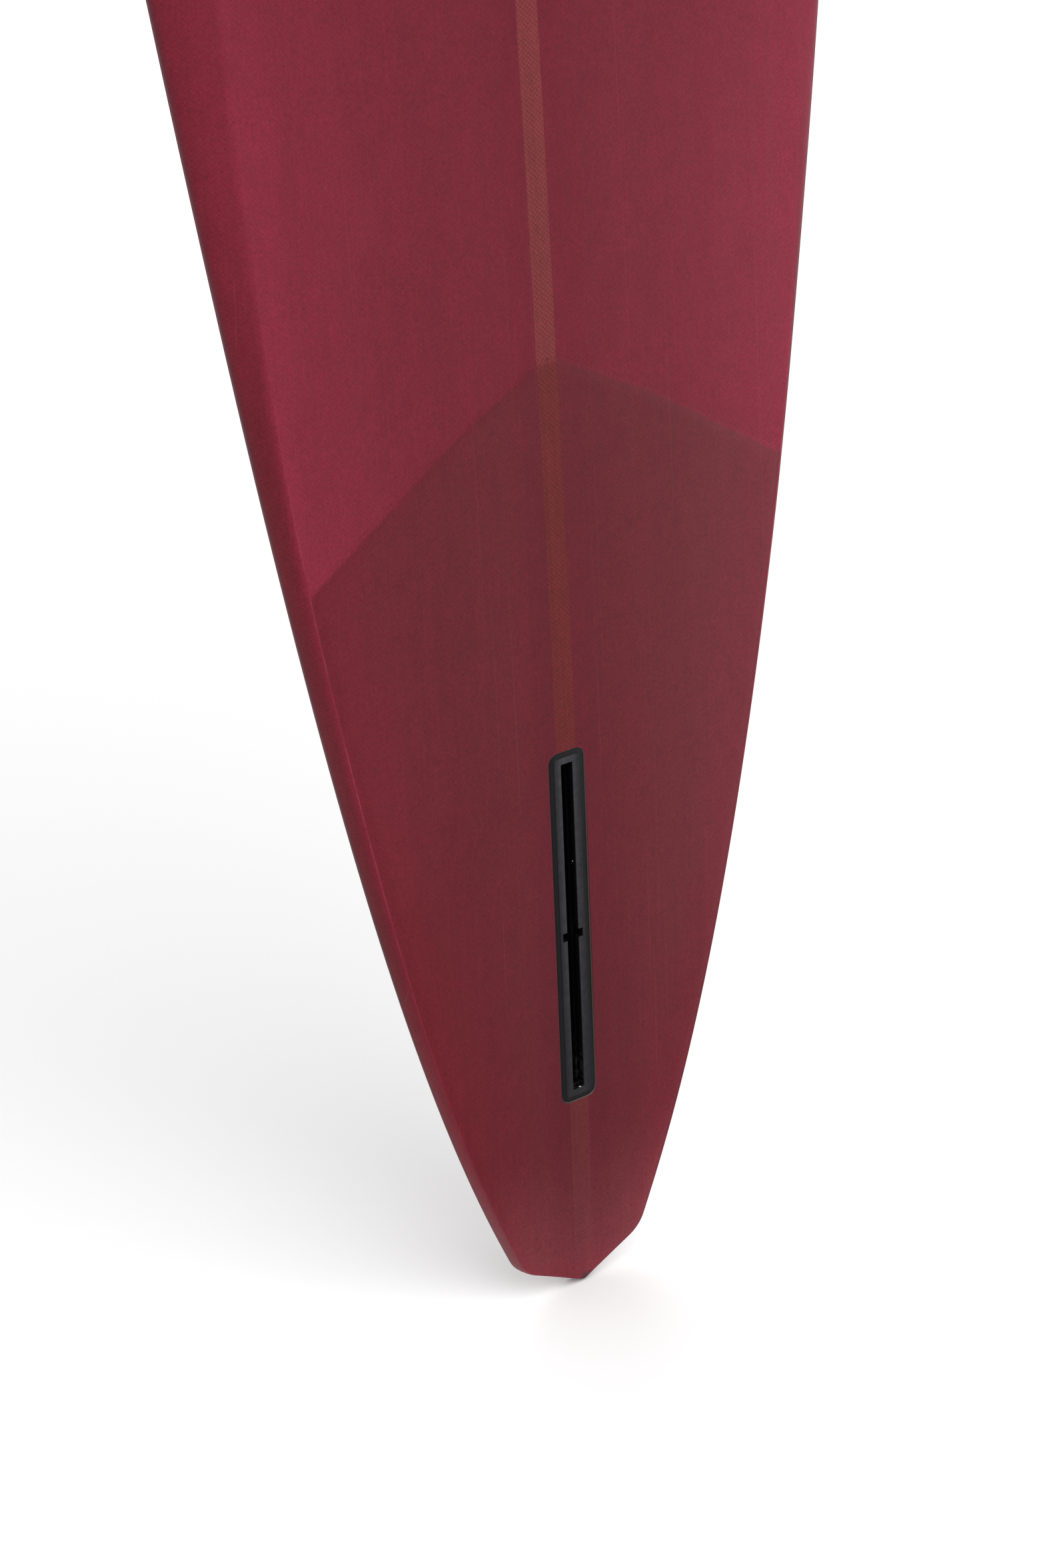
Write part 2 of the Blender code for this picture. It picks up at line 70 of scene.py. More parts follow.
STRINGER_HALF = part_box("stringer")[1][0]

# Outline, seen from the bottom, as in the CAD
WIDE_POINT = 1.500
CORNER_X = 0.0525
FACET_ANGLE = math.radians(26.4)
TIP_RADIUS = 0.0062
CORNER_REACH = 0.011
SIDE_CORNER_SHARE = 0.9
TAIL_HIP = 0.0385
TAIL_HIP_POWER = 8.7
TAIL_PULL_POWER = 1.625
NOSE_FULLNESS = 3.8

# The skin's rows fan round the ends: how far each fan reaches, how far from the end its foot on
# the centre line is, and how fast the foot moves along
TAIL_FAN = 0.10
NOSE_FAN = 0.26
TAIL_FAN_FOOT = 0.060
NOSE_FAN_FOOT = 0.120
FOOT_SLIDE = 0.5

# Rocker of the bottom, and the foil between bottom and deck
FLAT_POINT = 1.400
TAIL_ROCKER = 0.0394
TAIL_ROCKER_POWER = 2.425
NOSE_ROCKER = 0.118
NOSE_ROCKER_POWER = 2.4
THICKNESS = 0.073
END_THICKNESS = 0.024
TAIL_FOIL_POWER = 2.6
NOSE_FOIL_POWER = 2.8
DECK_CROWN = 0.30
DEPTH_CENTRE = 0.06706

# Rails: the widest line's height over the bottom, how far in the curves reach, and where along
# the board they change
TAIL_RAIL_HEIGHT = 0.0108
HIP_RAIL_HEIGHT = 0.0155
MID_RAIL_HEIGHT = 0.027
HIP = 0.68
RAIL_THICKENS = (0.80, 1.50)
RAIL_THINS = (1.70, 2.90)
TAIL_EDGE_TUCK = 0.0020
HIP_EDGE_TUCK = 0.0090
TUCK_WIDENS_TO = 0.6
SOFT_EDGE_REACH = 0.055
HARD_EDGE_ENDS = 0.55
SOFT_EDGE_STARTS = 1.30
HARD_RAIL_POWER = 1.45
SOFT_RAIL_POWER = 2.0
TAIL_DECK_REACH = 0.035
MID_DECK_REACH = 0.075
DECK_WIDENS_TO = 0.9

# Glassing: cloth and resin over the foam
GAP = 0.0003
LAMINATE = 0.0010
PATCH = 0.0005
LAP = 0.045
TAIL_PATCH_FRONT = [(0.010, 0.704), (0.079, 0.667), (0.186, 0.597)]
TAIL_PATCH_MARGIN = 0.0003
FRONT_SPREAD = 0.0035
STRAIGHT_ROWS_FROM = 0.03
DECK_PATCH_FRONT = [(0.0, 1.720), (0.339, 1.600)]
DECK_PATCH_SHARE = 0.05
FEATHER = 0.010
THREAD_PITCH = 0.00164

# Fin box, in its own frame: X across, Y towards the nose, Z out of the board
BOX_LENGTH = 0.273
BOX_WIDTH = 0.0286
BOX_DEPTH = 0.025
BOX_RADIUS = 0.007
BOX_SINK = 0.0003
FACE_LENGTH = 0.265
FACE_WIDTH = 0.0206
FACE_RADIUS = 0.002
SHOULDER = 0.0006
SLOT_LENGTH = 0.2555
SLOT_WIDTH = 0.0094
SLOT_DEPTH = 0.019
TRACK_WIDTH = 0.0158
TRACK_TOP = 0.005
TRACK_FOOT = 0.0095
NOTCH_LENGTH = 0.0063
NOTCH_WIDTH = 0.0166
NOTCH_OFFSET = -0.0046
POTTING = 0.0012
BOX_EDGE = 0.0003
BED_EDGE = 0.0002

# Leash cup
CUP_RADIUS = 0.016
CUP_DEPTH = 0.018
CUP_BOWL_RADIUS = 0.012
CUP_BOWL_DEPTH = 0.015
CUP_BOWL_FILLET = 0.004
CUP_MOUTH_ROUND = 0.0012
CUP_RIM_ROUND = 0.0006
CUP_BED_INSIDE = [(0.0, -0.0004), (0.0003, -0.0002)]
CUP_BED_OUTSIDE = [(-0.0003, -0.0001), (0.0, -0.0004)]
PIN_RADIUS = 0.002
PIN_LENGTH = 0.029
PIN_DEPTH = 0.005
PIN_END_ROUND = 0.0004

# Mesh fineness
TIP_STEPS = 6
FACET_STEPS = 12
CORNER_STEPS = 10
SIDE_STEPS = 150
FLAT_STEPS = 14
TUCK_STEPS = 16
SHOULDER_STEPS = 14
DECK_STEPS = 20
PATCH_STEPS = 24
FRONT_STEPS = 48
ROUND_STEPS = 96
BEVEL_STEPS = 8
RIM_STEPS = 4
FILLET_STEPS = 8
MOUTH_STEPS = 6
EDGE_STEPS = 4
FLOOR_STEPS = 8

# Visible finish
WORN_LINE = 0.0007
LAP_FADE = 9.0
SIDE_FEATHER = 0.008
LEAST_RISE = 0.02
FRONT_FADE = 0.007
PATCH_FLOOR = 0.00004
PATCH_CROWDING = 1.8
SLOT_CHAMFER = 0.0004
BEVEL_DROP = 0.3
SHOULDER_CURVE = [(0.00060, 0.00060), (0.00045, 0.00056), (0.00030, 0.00040), (0.00015, 0.00017)]
SHOULDER_CURVE += [(0.00005, 0.00005), (-0.00005, 0.00001), (-0.00020, 0.0)]
BED_GAP = 0.00005
HALO = 0.0007
HALO_SINK = 0.0001
CUT_ABOVE = 0.006
NOTCH_FOOT = 0.009
TRACK_END = 0.0005
SHARP_ANGLE = 35
MERGE = 0.000002

# Colours of the skin, in linear light, and factors for them
WHITE = (1.0, 1.0, 1.0)
SINGLE_TINT = (0.0985, 0.0058, 0.0141)
DOUBLE_TINT = (0.0770, 0.0066, 0.0118)
# The lap's richer tint, laid also over the rail's underside past the hard edge, where it is painted
# shade of the rail's roll
LAP_AND_RAIL_SHADE_TINT = (0.068, 0.0041, 0.0080)
TAIL_RAIL_TINT = (0.094, 0.0075, 0.0135)
# Painted light: the tail's tip lightens towards this colour, as if lit by the floor just below it
TIP_BOUNCE_LIGHT = (0.114, 0.0225, 0.0262)
# Painted shade: a dark patch on the right of the tail's tip
TIP_SHADE_TINT = (0.034, 0.022, 0.026)
# Painted shade: a dark line along the rail's widest line, where the rail turns out of the light
RAIL_EDGE_SHADE = (0.022, 0.012, 0.015)
WOOD_DARK = (0.110, 0.0135, 0.0165)
WOOD_LIGHT = (0.136, 0.0205, 0.0225)
WOOD_UNDER_PATCH = (0.75, 0.56, 0.50)
WOOD_AT_TAIL = (0.76, 0.72, 0.70)
REAR_WOOD = 0.88
BESIDE_WOOD = (0.95, 0.78, 0.88)
# Painted light: factors that lighten the skin towards the rails, as if lit through the thin foam, more
# on the right, which faces the light
SINGLE_PAINTED_LIGHT = (1.55, 1.85, 1.80)
LEFT_PAINTED_LIGHT = (1.32, 1.0, 1.10)
RIGHT_PAINTED_LIGHT = (1.40, 1.05, 1.22)
PAINTED_LIGHT_POWER = 2.2
# Painted shade: the outer left half near the tail is made redder and darker in green and blue, for the
# sheen that side lacks
LEFT_SHADE_STRIP = (0.99, 0.84, 0.79)
# Painted sheen: pale grey added over the patch's right half, for the gloss from the light on that side
RIGHT_SHEEN = (0.0, 0.0042, 0.0038)
TAIL_SHADE = 0.94
WORN_TINT = (0.26, 0.045, 0.055)
SCRATCH = (0.20, 0.06, 0.07)
PINHOLE = (0.55, 0.38, 0.38)

# Where along the board the skin's looks change: s where a change starts and where it is complete
WOOD_APPEARS = (0.0, 0.14)
WOOD_LIGHTENS = (0.82, 1.00)
WOOD_GREYS = (0.35, 0.12)
LAP_SHADE_APPEARS = (0.90, 0.60)
LAP_PALES = (0.34, 0.12)
TIP_LIGHT_FADES = (0.14, 0.0)
EDGE_SHADE_APPEARS = (0.55, 0.25)
WEAVE_CLEARS = (0.12, 0.50)
TAIL_LIGHTENS = (0.16, 0.52)
LEFT_SHADE_STARTS = (0.50, 0.24)
LEFT_SHADE_ENDS = (0.04, 0.18)
SHEEN_APPEARS = (0.10, 0.35)
WORN_STARTS = (0.80, 0.55)
WORN_ENDS = (0.20, 0.42)

# Where across the board they change: x, or the share of the way out to the outline
RIGHT_HALF = (-0.02, 0.02)
WOOD_BLUR = 0.0004
WOOD_WAVER = 0.0003
WOOD_SHADOW = (0.040, 0.016)
LEFT_SHADE_OUTWARDS = (0.25, 0.75)
SHEEN_OUTWARDS = (0.20, 0.75)

# How strongly they show
WOOD_AT_TIP = 0.35
# Painted shade: towards the nose the lap tint stays on the left rail only, at this share
LEFT_RAIL_SHADE_AT_TOP = 0.55
EDGE_SHADE_SHARE = (0.35, 0.6)
# Painted shade patch on the tail's tip: its middle, reach, core, step and share
TIP_SHADE_AT = (0.003, -0.026, 0.000)
TIP_SHADE_REACH = 0.015
TIP_SHADE_CORE = 0.6
TIP_SHADE_STEP = (0.35, 0.75)
TIP_SHADE_SHARE = 0.8
WEAVE_ON_FOAM = 0.05
WEAVE_ON_WOOD = 0.22
WEAVE_UNDER_PATCH = 0.13
WEAVE_AT_TAIL = 0.4
PATCHINESS = 0.8
FRONT_RAGGED = 0.5
FRONT_STEP = (0.95, 0.15)
SCRATCH_STEP = (0.66, 0.78)
SCRATCH_SHARE = 0.12
WORN_STEP = (0.30, 0.60)
WORN_SHARE = 0.38
PINHOLES_PER_METRE = 16.0
PINHOLE_RADIUS = 0.0006
PINHOLE_CELLS = 0.16
DOT_CORE = 0.6
PINHOLE_SHARE = 0.5
SKIN_SPECULAR = 0.10
SKIN_ROUGHNESS = (0.42, 0.62)
SKIN_RELIEF = 0.00003
WEAVE_RELIEF = 0.18
STREAK_RELIEF = 0.35
MOTTLE_RELIEF = 0.5

# Noises: waves a metre, the same each way or along x, y and z, then detail, then shift
WANDER_NOISE = (60.0, 1.0)
RING_NOISE = ((500.0, 100.0, 4.0), 3.0, 9.0)
FRONT_NOISE = (500.0, 1.0)
PATCHY_NOISE = (220.0, 2.0)
TIP_SHADE_NOISE = (220.0, 3.0)
SCRATCH_NOISE = ((900.0, 60.0, 1.4), 2.0, 7.0)
WORN_NOISE = (45.0, 2.0)
GRIME_NOISE = (260.0, 3.0)
RESIN_NOISE = (220.0, 3.0)
CUP_GRAIN = (1500.0, 2.0)
CUP_SCUFFS = ((120.0, 720.0, 120.0), 4.0)
STEEL_NOISE = ((60.0, 4000.0, 4000.0), 3.0)
FOAM_NOISE = (10.0, 3.0)
FOAM_CELLS = 1400.0
WOOD_RINGS = ((500.0, 120.0, 3.0), 4.0)
WOOD_PORES = ((2500.0, 2500.0, 60.0), 2.0)
FLOOR_NOISE = (1.5, 3.0)

# Noises that shade a surface, with how much each one does
SKIN_NOISES = {
    "clouds": ((7.0, 3.0), 0.08),
    "mottle": (((90.0, 90.0, 54.0), 3.0), 0.12),
    "grain": ((900.0, 2.0), 0.28),
    "speckle": ((430.0, 2.0, 2.0), 0.22),
    "streaks": (((560.0, 80.0, 3.0), 3.0), 0.12),
    "bands": (((38.0, 12.0, 0.9), 2.0, 3.0), 0.08),
}
BOX_NOISES = {
    "scratches": (((700.0, 30.0, 200.0), 3.0), 0.30),
    "cross": (((120.0, 1400.0, 200.0), 2.0, 5.0), 0.20),
    "mottle": ((160.0, 4.0), 0.55),
    "dust": ((1300.0, 3.0), 0.60),
}

# Colours of the fittings, the cores and the floor
BOX_FACE_DARK = (0.0075, 0.0070, 0.0082)
BOX_FACE_LIGHT = (0.0240, 0.0236, 0.0262)
BOX_BORDER = (0.0032, 0.0033, 0.0040)
# Painted shade: the slot's walls darken to this deep inside
BOX_SLOT_SHADE = (0.0016, 0.0016, 0.0018)
BOX_DUST = (0.045, 0.045, 0.045)
# A bright dust speck on the slot's right wall, and a painted glint at the slot's rear end
BOX_DUST_AND_GLINT = (0.42, 0.42, 0.40)
BOX_DUST_AND_GLINT_SPOTS = [((0.0047, 0.0500, -0.0042), 0.0008), ((0.0016, -0.1277, -0.0012), 0.0011)]
RESIN_DEEP = (0.10, 0.055, 0.05)
RESIN_TONES = ((0.020, 0.018, 0.016), (0.036, 0.034, 0.030))
CUP_TONES = ((0.012, 0.012, 0.013), (0.035, 0.034, 0.035))
STEEL_TONES = ((0.48, 0.49, 0.51), (0.68, 0.69, 0.71))
FOAM_TONES = ((0.80, 0.76, 0.68), (0.86, 0.83, 0.77))
WOOD_TONES = ((0.24, 0.10, 0.045), (0.42, 0.22, 0.11))
FLOOR_TONES = ((0.81, 0.81, 0.81), (0.79785, 0.79785, 0.79785))

# Where the fin box's and its bed's looks change, in the box's frame, and how strongly
BOX_SANDED = (-0.0005, -0.0001)
BOX_SHADE_DEPTHS = (-0.004, -0.0008)
BOX_REAR = (-0.085, -0.120)
BOX_GRIME = (0.45, 0.75)
BOX_GRIME_SHARE = 0.6
FACE_EDGE_LIGHT = 0.25
FACE_REAR_LIGHT = 0.35
SCRATCHES_ROUGHEN = 0.1
FINE_RELIEF = 0.6
DUST_GLINT_CORE = 0.5
BED_RIM = (-0.0012, -0.0004)

# How the fittings, the cores and the floor take light
BOX_SPECULAR = 0.10
BOX_ROUGHNESS = (0.46, 0.64)
BOX_RELIEF = 0.00004
RESIN_SPECULAR = 0.4
RESIN_ROUGHNESS = (0.3, 0.6)
RESIN_RELIEF = 0.00008
CUP_SPECULAR = 0.45
CUP_ROUGHNESS = (0.3, 0.6)
CUP_RELIEF = 0.00005
STEEL_ROUGHNESS = (0.18, 0.43)
STEEL_RELIEF = 0.00001
FOAM_SPECULAR = 0.2
FOAM_ROUGHNESS = (0.85, 0.95)
FOAM_RELIEF = 0.0001
WOOD_SPECULAR = 0.3
WOOD_ROUGHNESS = (0.5, 0.7)
WOOD_RELIEF = 0.00005
FLOOR_SPECULAR = 0.1
FLOOR_ROUGHNESS = (0.6, 0.7)
GRAIN_SHADE = 0.3
CELL_SHADE = 0.08

# Studio: the floor's half size, and each light's place, target, size and power
FLOOR_HALF = 60.0
FLOOR_GAP = 0.0005
WORLD_STRENGTH = 0.96
LIGHTS = {
    "key": ((-0.2, -3.6, 4.2), (0.0, 0.0, 0.7), 5.0, 200.0),
    "rail": ((1.35, -1.25, 0.35), (0.15, 0.0, 0.45), 0.7, 9.0),
    "back": ((2.0, 3.6, 2.8), (1.8, 3.4, 0.0), 3.0, 45.0),
}

# Camera
CAMERA_AT = Vector((-1.2834, -1.9415, 1.4338))
CAMERA_LOOK = Vector((0.50217, 0.76141, -0.40998))
CAMERA_UP = Vector((0.28724, 0.30031, 0.90956))
LENS = 85.0
SENSOR = 36.0
VIEW_END = 200.0


def smooth(t):
    """A smooth step from 0 to 1."""
    t = min(max(t, 0.0), 1.0)
    return t * t * (3.0 - 2.0 * t)


def ramp(s, span):
    """A smooth step from 0 at the start of a span to 1 at its end."""
    return smooth((s - span[0]) / (span[1] - span[0]))


# ---- the board's shape ----

def tip_point():
    """Where the tail facets would meet, a little below the rounded tip at s = 0."""
    return -TIP_RADIUS * (1.0 / math.cos(FACET_ANGLE) - 1.0)


def corner_place():
    """How far up the board the diamond tail's corners are."""
    return tip_point() + CORNER_X * math.tan(FACET_ANGLE)


def side_half_width(s):
    """Half the width of the plan outline, forward of the tail's corners."""
    if s > WIDE_POINT:
        u = min((s - WIDE_POINT) / (LENGTH - WIDE_POINT), 1.0)
        return HALF_WIDTH * math.sqrt(1.0 - u ** NOSE_FULLNESS)
    v = (WIDE_POINT - s) / (WIDE_POINT - corner_place())
    pull = (HALF_WIDTH - CORNER_X - TAIL_HIP) * v ** TAIL_PULL_POWER
    return HALF_WIDTH - pull - TAIL_HIP * v ** TAIL_HIP_POWER


def rocker(s):
    """How far the bottom's centre line has curved away towards the deck."""
    if s < FLAT_POINT:
        return TAIL_ROCKER * ((FLAT_POINT - s) / FLAT_POINT) ** TAIL_ROCKER_POWER
    return NOSE_ROCKER * ((s - FLAT_POINT) / (LENGTH - FLAT_POINT)) ** NOSE_ROCKER_POWER


def thickness(s):
    """Bottom to deck on the centre line."""
    if s < WIDE_POINT:
        thinning = (min((WIDE_POINT - s) / WIDE_POINT, 1.0)) ** TAIL_FOIL_POWER
    else:
        thinning = (min((s - WIDE_POINT) / (LENGTH - WIDE_POINT), 1.0)) ** NOSE_FOIL_POWER
    return THICKNESS - (THICKNESS - END_THICKNESS) * thinning


def deck_line(s):
    """The height of the deck's centre line."""
    return rocker(s) + thickness(s)


def slope(height, s):
    """How steeply a height changes along the board."""
    step = 0.001
    return (height(s + step) - height(s - step)) / (2.0 * step)


def rail_height(s):
    """The height of the widest line over the bottom."""
    height = TAIL_RAIL_HEIGHT + (HIP_RAIL_HEIGHT - TAIL_RAIL_HEIGHT) * smooth(s / HIP)
    height += (MID_RAIL_HEIGHT - HIP_RAIL_HEIGHT) * ramp(s, RAIL_THICKENS)
    return height - (MID_RAIL_HEIGHT - TAIL_RAIL_HEIGHT) * ramp(s, RAIL_THINS)


def softness(s):
    """0 where the bottom meets the rail in a hard edge, 1 where it rolls up."""
    return ramp(s, (HARD_EDGE_ENDS, SOFT_EDGE_STARTS))


def tuck_reach(s):
    """How far in from the outline the underside of the rail reaches."""
    hard = TAIL_EDGE_TUCK + (HIP_EDGE_TUCK - TAIL_EDGE_TUCK) * min(s / TUCK_WIDENS_TO, 1.0)
    return hard + (SOFT_EDGE_REACH - hard) * softness(s)


def deck_reach(s):
    """How far in from the outline the deck side of the rail reaches."""
    return TAIL_DECK_REACH + (MID_DECK_REACH - TAIL_DECK_REACH) * smooth(s / DECK_WIDENS_TO)


def rail_power(s):
    """How full the underside of the rail is."""
    return HARD_RAIL_POWER + (SOFT_RAIL_POWER - HARD_RAIL_POWER) * softness(s)


def outline():
    """The right half of the plan outline as (x, s), from the tail tip to the nose tip."""
    tip = Vector((0.0, tip_point()))
    along = Vector((math.cos(FACET_ANGLE), math.sin(FACET_ANGLE)))
    corner = Vector((CORNER_X, corner_place()))
    centre = Vector((0.0, tip.y + TIP_RADIUS / math.cos(FACET_ANGLE)))
    points = []
    for i in range(TIP_STEPS + 1):
        turn = FACET_ANGLE * i / TIP_STEPS
        points.append(centre + TIP_RADIUS * Vector((math.sin(turn), -math.cos(turn))))
    facet_start = points[-1]
    facet_end = corner - along * CORNER_REACH
    for i in range(1, FACET_STEPS):
        points.append(facet_start.lerp(facet_end, i / FACET_STEPS))
    side_start = corner.y + SIDE_CORNER_SHARE * CORNER_REACH
    side_end = Vector((side_half_width(side_start), side_start))
    for i in range(CORNER_STEPS + 1):
        t = i / CORNER_STEPS
        points.append(facet_end.lerp(corner, t).lerp(corner.lerp(side_end, t), t))
    for i in range(1, SIDE_STEPS + 1):
        s = side_start + (LENGTH - side_start) * (1.0 - math.cos(math.pi * i / SIDE_STEPS)) / 2.0
        points.append(Vector((side_half_width(s), s)))
    points[-1].x = 0.0
    return points


def board_rows():
    """Rows from the outline to the centre line: (outline point, direction inwards, length).

    They run straight across in the middle and fan round the tail and the nose.
    """
    edge = outline()
    run = [0.0]
    for a, b in zip(edge, edge[1:]):
        run.append(run[-1] + (b - a).length)
    rows = []
    for point, from_tail in zip(edge, run):
        from_nose = run[-1] - from_tail
        tail_fan = math.exp(-(from_tail / TAIL_FAN) ** 2)
        nose_fan = math.exp(-(from_nose / NOSE_FAN) ** 2)
        foot = point.y * (1.0 - tail_fan) + (TAIL_FAN_FOOT + FOOT_SLIDE * from_tail) * tail_fan
        foot += (LENGTH - NOSE_FAN_FOOT - FOOT_SLIDE * from_nose - point.y) * nose_fan
        inwards = Vector((0.0, foot)) - point
        rows.append((point, inwards.normalized(), inwards.length))
    return rows


def row_across(s):
    """One straight row."""
    width = side_half_width(s)
    return Vector((width, s)), Vector((-1.0, 0.0)), width


def skin_point(row, e, deck, inset):
    """A point e in from the outline, on the deck or the bottom, inset under the surface."""
    edge, inwards, length = row
    place = edge + inwards * (inset + e * (length - inset) / length)
    s = place.y
    depth = thickness(s)
    widest = rail_height(edge.y)
    if deck:
        crowned = depth * (1.0 - DECK_CROWN * (1.0 - e / length) ** 2)
        t = min(e / deck_reach(edge.y), 1.0)
        height = widest + (crowned - widest) * math.sqrt(1.0 - (1.0 - t) ** 2)
    else:
        power = rail_power(edge.y)
        t = min(e / tuck_reach(edge.y), 1.0)
        height = widest * (1.0 - (1.0 - (1.0 - t) ** power) ** (1.0 / power))
    y = rocker(s) + inset + height * (depth - 2.0 * inset) / depth
    x = place.x if e < length else 0.0
    return Vector((x, y - DEPTH_CENTRE, s))


def tuck_places(row):
    """Places e from the hard edge out to the outline, evenly spread round the curve."""
    reach = tuck_reach(row[0].y)
    power = rail_power(row[0].y)
    turns = [math.pi / 2 * i / TUCK_STEPS for i in range(TUCK_STEPS + 1)]
    return [reach * (1.0 - math.sin(turn) ** (2.0 / power)) for turn in turns]


# ---- sections: columns of (e, deck, rise, marks), from the centre line outwards ----
# rise is the share of a patch's thickness that is there. marks are (worn, lap, edge), where edge is
# the widest line on a laminate, and the front line on a patch.

def bottom_section(row):
    """The bottom laminate, over the bottom, round the rail and onto the deck."""
    length = row[2]
    reach = tuck_reach(row[0].y)
    inner = reach + WORN_LINE
    lap_fade = 1.0 + LAP_FADE * min(row[0].y / HARD_EDGE_ENDS, 1.0)
    columns = []
    for i in range(FLAT_STEPS + 1):
        columns.append((length + (inner - length) * i / FLAT_STEPS, False, 1.0, (0.0, 0.0, 0.0)))
    for i, e in enumerate(tuck_places(row)):
        past = (reach - e) / WORN_LINE
        # From the hard edge outwards the lap share rises: on the rail's underside it stands for painted
        # shade of the rail's roll
        lap = smooth((past + 1.0) / lap_fade)
        rim = smooth((i - TUCK_STEPS + RIM_STEPS) / RIM_STEPS)
        columns.append((e, False, 1.0, (max(0.0, 1.0 - past), lap, rim)))
    for i in range(1, SHOULDER_STEPS + 1):
        e = (LAP - GAP) * (1.0 - math.cos(math.pi / 2 * i / SHOULDER_STEPS))
        columns.append((e, True, 1.0, (0.0, 1.0, 1.0 - smooth(i / RIM_STEPS))))
    return columns


def deck_section(row):
    """The deck laminate, between the bottom laminate's laps."""
    width = row[2] - LAP
    places = [LAP + width * (1.0 - i / DECK_STEPS) for i in range(DECK_STEPS + 1)]
    return [(e, True, 1.0, (0.0, 0.0, 0.0)) for e in places]


def patch_section(row, deck, side, front):
    """A patch that ends at e = side beside the rail, and at the line front towards the nose."""
    length = row[2]
    start = max(side, length - width_at(front, row[0].y))
    columns = []
    for i in range(PATCH_STEPS + 1):
        share = 1.0 - i / PATCH_STEPS
        e = start + (length - start) * share ** PATCH_CROWDING
        place = row[0] + row[1] * e
        from_front = distance_to(front, place)
        rise = smooth(min(from_front / FEATHER, (e - side) / SIDE_FEATHER + LEAST_RISE))
        if deck:
            from_front = min(from_front, e - side)
        mark = 1.0 - smooth(from_front / FRONT_FADE)
        columns.append((e, deck, rise, (0.0, 0.0, mark)))
    return columns


def width_at(front, s):
    """Where a patch's front line is at s. Behind the line's rear end it runs straight on."""
    for (x1, s1), (x2, s2) in zip(front, front[1:]):
        if s >= s2 or (x2, s2) == front[-1]:
            return max(x1 + (x2 - x1) * (s - s1) / (s2 - s1), 0.0)
    return 0.0


def distance_to(front, place):
    """How far a place (x, s) is from a patch's front line."""
    points = [Vector((0.0, front[0][1]))] + [Vector(point) for point in front]
    points.append(points[-1] + (points[-1] - points[-2]))
    nearest = math.inf
    for a, b in zip(points, points[1:]):
        along = b - a
        if along.length > 0.0:
            t = min(max((place - a).dot(along) / along.length_squared, 0.0), 1.0)
            nearest = min(nearest, (place - a - along * t).length)
    return nearest


# ---- Blender helpers ----

def add_object(name, bm, look=None, place=None):
    """An object from a bmesh."""
    mesh = bpy.data.meshes.new(name)
    bm.to_mesh(mesh)
    bm.free()
    obj = bpy.data.objects.new(name, mesh)
    bpy.context.scene.collection.objects.link(obj)
    if look:
        mesh.materials.append(look)
    if place:
        obj.matrix_world = place
    return obj


def shade_round(obj):
    """Smooth shading with sharp edges above an angle."""
    obj.data.shade_smooth()
    obj.data.set_sharp_from_angle(angle=math.radians(SHARP_ANGLE))


def cut(obj, *cutters):
    """Cut away what the cutters cover."""
    for cutter in cutters:
        modifier = obj.modifiers.new(cutter.name, "BOOLEAN")
        modifier.operation = "DIFFERENCE"
        modifier.solver = "EXACT"
        modifier.object = cutter
    depsgraph = bpy.context.evaluated_depsgraph_get()
    mesh = bpy.data.meshes.new_from_object(obj.evaluated_get(depsgraph))
    obj.modifiers.clear()
    obj.data = mesh
    shade_round(obj)


def remove(*objects):
    """Take cutters away again."""
    for obj in objects:
        bpy.data.objects.remove(obj, do_unlink=True)


def skin_ring(row, columns, outside, inside):
    """One row of a skin as (point, marks, across), inwards to outwards on top, and back below."""
    ring = []
    for e, deck, rise, marks in columns:
        depth = inside + (outside - inside) * rise
        ring.append((skin_point(row, e, deck, depth), marks, 1.0 - e / row[2]))
    for e, deck, _, _ in reversed(columns):
        ring.append((skin_point(row, e, deck, inside), (0.0, 0.0, 0.0), 1.0 - e / row[2]))
    return ring


def skin(name, rows, section, outside, inside, look):
    """A closed skin lofted through its right half's rows, and mirrored.

    Its surfaces lie outside and inside under the board's surface, where the inner one is left
    alone and the outer one follows the columns' rise.
    """
    bm = bmesh.new()
    marks_layer = bm.verts.layers.float_vector.new("marks")
    across_layer = bm.verts.layers.float.new("across")
    for side in (1.0, -1.0):
        grid = []
        for row in rows:
            line = []
            for point, marks, across in skin_ring(row, section(row), outside, inside):
                vert = bm.verts.new((side * point.x, point.y, point.z))
                vert[marks_layer] = marks
                vert[across_layer] = across
                line.append(vert)
            grid.append(line)
        for low, high in zip(grid, grid[1:]):
            for a, b, c, d in zip(low, low[1:], high[1:], high):
                bm.faces.new((a, b, c, d))
    bmesh.ops.remove_doubles(bm, verts=bm.verts, dist=MERGE)
    bmesh.ops.dissolve_degenerate(bm, edges=bm.edges, dist=MERGE)
    bmesh.ops.recalc_face_normals(bm, faces=bm.faces)
    obj = add_object(name, bm, look)
    shade_round(obj)
    return obj


def rounded(width, length, radius, height, steps):
    """A rounded rectangle as points, anticlockwise, with the same count for every size."""
    if steps == 0:
        radius = 0.0
    points = []
    for corner, (sx, sy) in enumerate(((1, 1), (-1, 1), (-1, -1), (1, -1))):
        middle = Vector((sx * (width / 2 - radius), sy * (length / 2 - radius), height))
        for i in range(steps + 1):
            turn = math.pi / 2 * (corner + (i / steps if steps else 0.0))
            points.append(middle + radius * Vector((math.cos(turn), math.sin(turn), 0.0)))
    return points


